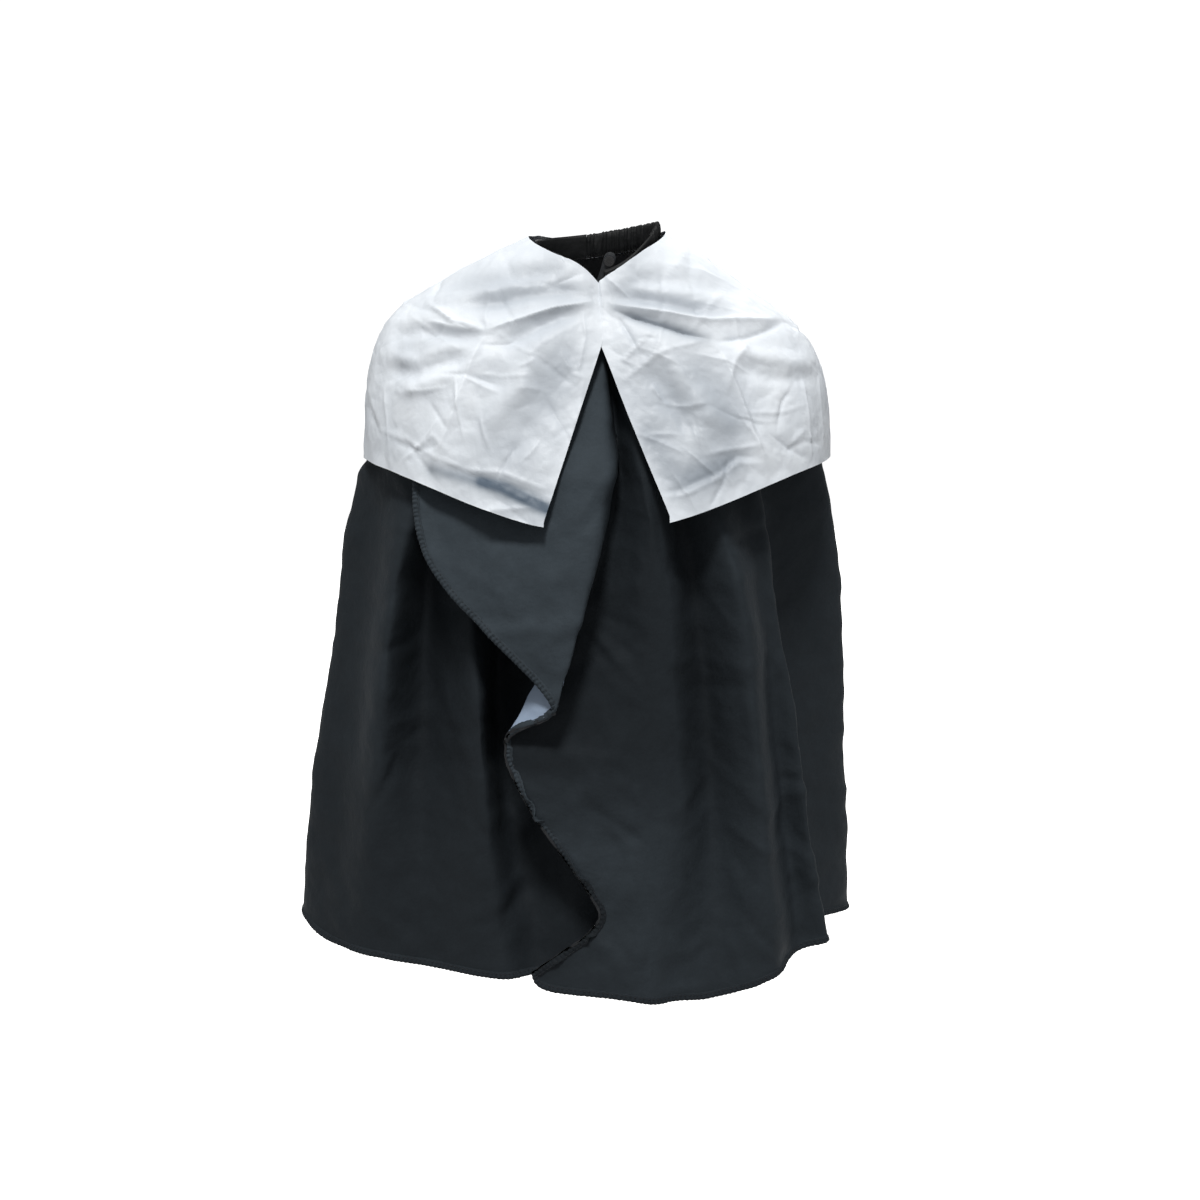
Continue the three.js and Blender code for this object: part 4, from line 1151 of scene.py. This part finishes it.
# --- Film --------------------------------------------------------------------------------------
def film_neck(angle, left):
    """Neck edge of the film at an angle between -180 and 180."""
    turn = math.radians(angle)
    cosine = math.cos(turn)
    depth = FILM_NECK_DEPTH if cosine > 0 else FILM_NECK_BACK
    edge = FILM_NECK_LEFT if left else FILM_NECK_RIGHT
    if abs(angle) <= 90:
        z = float(through(angle, [p[0] for p in edge], [p[1] for p in edge]))
    else:
        side = FILM_NECK_LEFT[0][1] if angle < 0 else FILM_NECK_RIGHT[-1][1]
        z = mix(side, FILM_BACK_NECK_Z, cosine * cosine)
    return np.array([FILM_NECK_WIDTH * math.sin(turn), -depth * cosine, z])


def film_bottom(angle):
    turn = math.radians(angle)
    cosine = math.cos(turn)
    depth = FILM_FRONT_DEPTH if cosine > 0 else FILM_BACK_DEPTH
    end_z = FILM_FRONT_Z if cosine > 0 else FILM_BACK_Z
    z = mix(FILM_SIDE_Z, end_z, cosine ** BOTTOM_POWER)
    return np.array([FILM_HALF_WIDTH * math.sin(turn), -depth * cosine, z])


def film_line(angle, left, t):
    """A line of the film from the neck to the bottom edge at one angle."""
    side_z = LEFT_SHOULDER_Z if angle < 0 else RIGHT_SHOULDER_Z
    return shoulder_curve(film_neck(angle, left), film_bottom(angle), angle, side_z, FILM_HUG, t)


def edge_angles(edge, left, shares):
    """The angle at which each row reaches the flap's free front edge."""
    trial = np.linspace(-TRIAL_REACH, TRIAL_REACH, TRIAL_COUNT)
    heights = [point[1] for point in reversed(edge)]
    places = [point[0] for point in reversed(edge)]
    found = []
    for share in shares:
        line = np.array([film_line(angle, left, share) for angle in trial])
        target = through(line[:, 2], heights, places)
        miss = line[:, 0] - target
        crossing = int(np.argmax(miss > 0))
        a, b = miss[crossing - 1], miss[crossing]
        found.append(mix(trial[crossing - 1], trial[crossing], -a / (b - a)))
    return np.array(found)


def film_grid(left):
    """Smooth grid of one front flap, from its outer side to its free edge or the other way round."""
    shares = np.linspace(0, 1, FILM_ROWS + 1)
    edge = edge_angles(LEFT_EDGE if left else RIGHT_EDGE, left, shares)
    columns = int(FLAP_GRID_WIDTH / FILM_COLUMN_STEP)
    rows = []
    for share, angle in zip(shares, edge):
        start, end = (-90, angle) if left else (angle, 90)
        rows.append([film_line(mix(start, end, column / columns), left, share)
                     for column in range(columns + 1)])
    return np.array(rows)


def back_grid():
    shares = np.linspace(0, 1, FILM_ROWS + 1)
    columns = int(BACK_GRID_WIDTH / FILM_COLUMN_STEP)
    rows = []
    for share in shares:
        row = []
        for column in range(columns + 1):
            angle = mix(90, 270, column / columns)
            signed = angle if angle <= 180 else angle - 360
            row.append(film_line(signed, signed < 0, share))
        rows.append(row)
    return np.array(rows)


def crumple(points, height, size, seed):
    """Sharp little facets, as folded film keeps."""
    shift = Vector((seed, seed, seed))
    values = []
    for point in points:
        distances, _ = noise.voronoi(Vector(point) / size + shift)
        values.append(distances[1] - distances[0])
    return height * np.array(values)


def film_relief(grid, folds, seed):
    points = grid.reshape(-1, 3)
    face = points[:, [0, 2]]
    front = smooth((FILM_FRONT_START - points[:, 1]) / FILM_FRONT_REACH)
    height = np.zeros(len(points))
    creases = scattered_creases(seed, PACKING_COUNT, PACKING_TURNS, PACKING_AREA, PACKING_LENGTHS,
                                PACKING_WIDTHS, PACKING_HEIGHT)
    for rise, half_width, line in creases:
        height += fold_height(face, rise, half_width, True, line, CREASE_FADE)
    for rise, half_width, sharp, line in folds:
        height += front * fold_height(face, FOLD_GAIN * rise, half_width, sharp, line, FILM_FOLD_FADE)
    height += wave(points, *FILM_WAVE)
    for facet_height, size, shift in CRUMPLES:
        height += crumple(points, facet_height, size, shift)
    return height.reshape(grid.shape[:2])


def film_seen_cloth_and_shade(grid, relief, zones):
    """Painted grey share: dark cloth showing through where the film lies close, and painted shade in
    hollows and along fold valleys, lighter on raised folds.
    """
    points = grid.reshape(-1, 3)
    face = points[:, [0, 2]]
    front = smooth((VEIL_START - points[:, 1]) / VEIL_REACH)
    amount = np.full(len(points), LEAST_VEIL)
    for share, half_width, line in zones:
        gap, _ = distance_to(face, line)
        amount += share * front * np.exp(-(gap / half_width) ** 2)
    # Painted shade in hollows, lighter on raised folds
    amount -= HOLLOW_SHADE_PER_MM * relief.reshape(-1)
    amount += wave(points, *VEIL_WAVE)
    return clamp(amount).reshape(grid.shape[:2])


left_grid = film_grid(True)
right_grid = film_grid(False)
rear_grid = back_grid()
rest_grid = np.concatenate([right_grid, rear_grid[:, 1:]], axis=1)

left_normals = grid_normals(left_grid)
rest_normals = grid_normals(rest_grid)
over = smooth((left_grid[:, :, 0] - LIFT_START) / LIFT_REACH)
left_relief = film_relief(left_grid, LEFT_FILM_FOLDS, 1) + TOP_FLAP_LIFT * over
rest_relief = film_relief(rest_grid, RIGHT_FILM_FOLDS, 2)
left_seen_cloth_and_shade = film_seen_cloth_and_shade(left_grid, left_relief, LEFT_SEEN_CLOTH_AND_SHADE)
rest_seen_cloth_and_shade = film_seen_cloth_and_shade(rest_grid, rest_relief, RIGHT_SEEN_CLOTH_AND_SHADE)
left_grid = left_grid + left_normals * left_relief[:, :, None]
rest_grid = rest_grid + rest_normals * rest_relief[:, :, None]
seam = (left_grid[:, 0] + rest_grid[:, -1]) / 2
left_grid[:, 0] = seam
rest_grid[:, -1] = seam
left_normals = grid_normals(left_grid)
rest_normals = grid_normals(rest_grid)
shared = left_normals[:, 0] + rest_normals[:, -1]
shared /= np.linalg.norm(shared, axis=1, keepdims=True)
left_normals[:, 0] = shared
rest_normals[:, -1] = shared

film_left = sheet_object("film_left_flap", left_grid, left_normals, FILM_THICKNESS,
                         [white_film] * 3, lambda row, column: 1)
film_rest = sheet_object("film_shoulder_cape", rest_grid, rest_normals, FILM_THICKNESS,
                         [white_film] * 3, lambda row, column: 1)
# Painted grey of seen-through cloth and painted shade, stored per point
paint(film_left, SEEN_CLOTH_AND_SHADE, left_grid, left_seen_cloth_and_shade)
paint(film_rest, SEEN_CLOTH_AND_SHADE, rest_grid, rest_seen_cloth_and_shade)
fold_start = np.array(FOLD_START)
fold_end = np.array(FOLD_END)
fold_direction = (fold_end - fold_start) / np.linalg.norm(fold_end - fold_start)
fold_across = np.cross(fold_direction, np.array([0.0, -1.0, 0.0]))
fold_across[1] = 0
fold_across /= np.linalg.norm(fold_across)
if fold_across[0] < 0:
    fold_across = -fold_across
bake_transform(film_left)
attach(film_rest, "shoulder_cape")
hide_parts("shoulder_cape_left_front", "shoulder_cape_left_side")
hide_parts("shoulder_cape_right_flap", "shoulder_cape_back")


# --- Neckband ----------------------------------------------------------------------------------
def outward(angle):
    turn = math.radians(angle)
    direction = np.array([math.sin(turn) / NECK_HALF_WIDTH, -math.cos(turn) / NECK_HALF_DEPTH, 0])
    return direction / np.linalg.norm(direction)


def band_object(name, start, end, wall, gathered, material):
    """A closed ring section of the neckband. Gathers are uneven upright puckers."""
    arc = math.radians(end - start) * (NECK_HALF_WIDTH + NECK_HALF_DEPTH) / 2
    columns = int(arc / (GATHER_COLUMN if gathered else BAND_COLUMN))
    ripple, ripple_length, ripple_turn = BAND_RIPPLE
    vertices = []
    for column in range(columns + 1):
        share = column / columns
        angle = mix(start, end, share)
        seam_point = neck_seam(angle)
        out = outward(angle)
        run = share * arc
        drift = noise.noise(Vector((run / GATHER_DRIFT_LENGTH, 3.1, 0.0))) * GATHER_DRIFT
        beat = math.sin(2 * math.pi * (run / GATHER_STEP + drift))
        frill = noise.noise(Vector((run / FRILL_LENGTH, 8.2, 0.0)))
        for height, side in BAND_PROFILE:
            depth = side * wall
            lift = height * BAND_HEIGHT
            if gathered:
                steer = noise.noise(Vector((run / STEER_LENGTH, height * 2.0, 5.0)))
                pucker = math.sin(2 * math.pi * (run / GATHER_STEP + drift + STEER * steer))
                depth += (PUCKER_DEPTH * pucker + FRILL_DEPTH * frill) * (1 if side >= 0 else INNER_SHARE)
                lift += (BEAT_LIFT * beat + FRILL_LIFT * frill) * (height - 0.5)
            else:
                depth += ripple * noise.noise(Vector((run / ripple_length, height * ripple_turn, 1.0)))
            spot = seam_point - out * (wall / 2 + BAND_GAP) + out * depth
            spot[2] += lift + BAND_RAISE
            vertices.append(spot)
    faces = tube_sides(columns + 1, len(BAND_PROFILE))
    faces += tube_ends(columns + 1, len(BAND_PROFILE))
    return make_object(name, vertices, faces, [material])


gathered_band = band_object("neckband_gathered", GATHER_START, GATHER_END, GATHER_WALL, True, band_cloth)
right_band = band_object("neckband_right", BAND_OPEN, GATHER_START, BAND_WALL, False, band_cloth)
left_band = band_object("neckband_left", GATHER_END, 360 - BAND_OPEN, BAND_WALL, False, band_cloth)
for piece, nodes in ((gathered_band, ("neckband_gathered_casing", "neckband_elastic")),
                     (right_band, ("neckband_right_end",)), (left_band, ("neckband_left_end",))):
    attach(piece, "cape")
    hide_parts(*nodes)

# --- Neck strap --------------------------------------------------------------------------------
def strap_ring(height):
    """Half width of the strap at a height along it: straight sides and a round end."""
    half = STRAP_WIDTH / 2
    over = max(0.0, height - (STRAP_LENGTH - half))
    return math.sqrt(max(half * half - over * over, 0.0))


def strap_object():
    """A tongue of folded cloth with a padded middle and a stitched edge."""
    lean = math.radians(STRAP_LEAN)
    up = np.array([math.sin(lean), 0.0, math.cos(lean)])
    right = np.array([math.cos(lean), 0.0, -math.sin(lean)])
    root = np.array(STRAP_ROOT, float)
    out = np.array([0.0, -1.0, 0.0])
    ripple, ripple_across, ripple_length = STRAP_RIPPLE
    heights = list(np.linspace(0, STRAP_LENGTH - STRAP_WIDTH / 2, STRAP_ROWS))
    for k in range(1, STRAP_END_ROWS):
        rise = math.sin(k * math.pi / 2 / STRAP_END_ROWS)
        heights.append(STRAP_LENGTH - STRAP_WIDTH / 2 * (1 - rise))
    vertices = []
    for height in heights:
        half = strap_ring(height)
        end = clamp((STRAP_LENGTH - height) / STRAP_SEAM)
        for side in STRAP_SIDES:
            room = min(half * (1 - abs(side)), STRAP_LENGTH - height)
            seam = SEAM_DEPTH * math.exp(-((room - STRAP_SEAM) / SEAM_HALF_WIDTH) ** 2)
            crown = STRAP_WALL / 2 * float(smooth(room / EDGE_ROUND))
            crown += PAD_RISE * float(smooth(room / PAD_WIDTH)) - seam
            crown += ripple * noise.noise(Vector((side * ripple_across, height / ripple_length, 1.0)))
            vertices.append(root + up * height + right * half * side + out * (crown * max(end, LEAST_END)))
        for side in reversed(STRAP_SIDES[1:-1]):
            room = half * (1 - abs(side))
            flat = -STRAP_WALL / 2 * float(smooth(room / EDGE_ROUND))
            vertices.append(root + up * height + right * half * side + out * flat)
    ring = 2 * len(STRAP_SIDES) - 2
    faces = tube_sides(len(heights), ring) + turned_over(tube_ends(len(heights), ring))
    return make_object("neck_strap_tongue", vertices, faces, [strap_cloth])


strap = strap_object()
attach(strap, "strap")
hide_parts("neck_strap")

# --- CAD nodes that stay -----------------------------------------------------------------------
for name in ("shoulder_cape_snap_cap", "shoulder_cape_snap_socket", "shoulder_cape_snap_stud",
             "shoulder_cape_snap_post"):
    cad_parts[name].data.materials.clear()
    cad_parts[name].data.materials.append(white_plastic)
for name in ("neckband_snap_stud", "neckband_snap_post", "neck_strap_snap_cap", "neck_strap_snap_socket"):
    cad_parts[name].data.materials.clear()
    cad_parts[name].data.materials.append(black_plastic)


# --- Stage -------------------------------------------------------------------------------------
def look_at(thing, target):
    direction = target - thing.location
    thing.rotation_euler = direction.to_track_quat("-Z", "Y").to_euler()


def stage_floor():
    half = FLOOR_SIZE / 2
    mesh = bpy.data.meshes.new("floor")
    mesh.from_pydata([(-half, -half, FLOOR_Z), (half, -half, FLOOR_Z), (half, half, FLOOR_Z),
                      (-half, half, FLOOR_Z)], [], [(0, 1, 2, 3)])
    made = bpy.data.objects.new("floor", mesh)
    bpy.context.scene.collection.objects.link(made)
    material = plastic_material("pale_floor", (0.9, 0.9, 0.9), (0.93, 0.93, 0.93), 0.9)
    shader = material.node_tree.nodes["Principled BSDF"]
    shader.inputs["Emission Color"].default_value = (1, 1, 1, 1)
    shader.inputs["Emission Strength"].default_value = FLOOR_GLOW
    mesh.materials.append(material)
    made.visible_diffuse = False


def lights_and_camera():
    for name, place, strength, angle, color in LIGHTS:
        data = bpy.data.lights.new(name, "SUN")
        data.energy = strength
        data.color = color
        data.angle = math.radians(angle)
        light = bpy.data.objects.new(name, data)
        light.location = place
        look_at(light, Vector((0, 0, 0)))
        bpy.context.scene.collection.objects.link(light)
    data = bpy.data.cameras.new("camera")
    data.lens = CAMERA_LENS
    camera = bpy.data.objects.new("camera", data)
    camera.location = CAMERA_PLACE
    camera.rotation_euler = (math.radians(CAMERA_PITCH), 0, 0)
    bpy.context.scene.collection.objects.link(camera)
    bpy.context.scene.camera = camera
    world = bpy.data.worlds.new("studio")
    world.use_nodes = True
    nodes, links = world.node_tree.nodes, world.node_tree.links
    nodes["Background"].inputs["Color"].default_value = (1, 1, 1, 1)
    place = nodes.new("ShaderNodeTexCoord")
    parts = nodes.new("ShaderNodeSeparateXYZ")
    fade = nodes.new("ShaderNodeMapRange")
    fade.interpolation_type = "SMOOTHSTEP"
    fade.inputs["From Min"].default_value = AMBIENT_FADE[0]
    fade.inputs["From Max"].default_value = AMBIENT_FADE[1]
    fade.inputs["To Min"].default_value = AMBIENT_LOW
    fade.inputs["To Max"].default_value = AMBIENT_HIGH
    path = nodes.new("ShaderNodeLightPath")
    choice = nodes.new("ShaderNodeMix")
    choice.inputs["B"].default_value = BACKDROP
    links.new(place.outputs["Generated"], parts.inputs["Vector"])
    links.new(parts.outputs["Z"], fade.inputs["Value"])
    links.new(path.outputs["Is Camera Ray"], choice.inputs["Factor"])
    links.new(fade.outputs["Result"], choice.inputs["A"])
    links.new(choice.outputs["Result"], nodes["Background"].inputs["Strength"])
    bpy.context.scene.world = world
    bpy.context.scene.view_settings.view_transform = "Standard"
    bpy.context.scene.view_settings.exposure = EXPOSURE


stage_floor()
lights_and_camera()
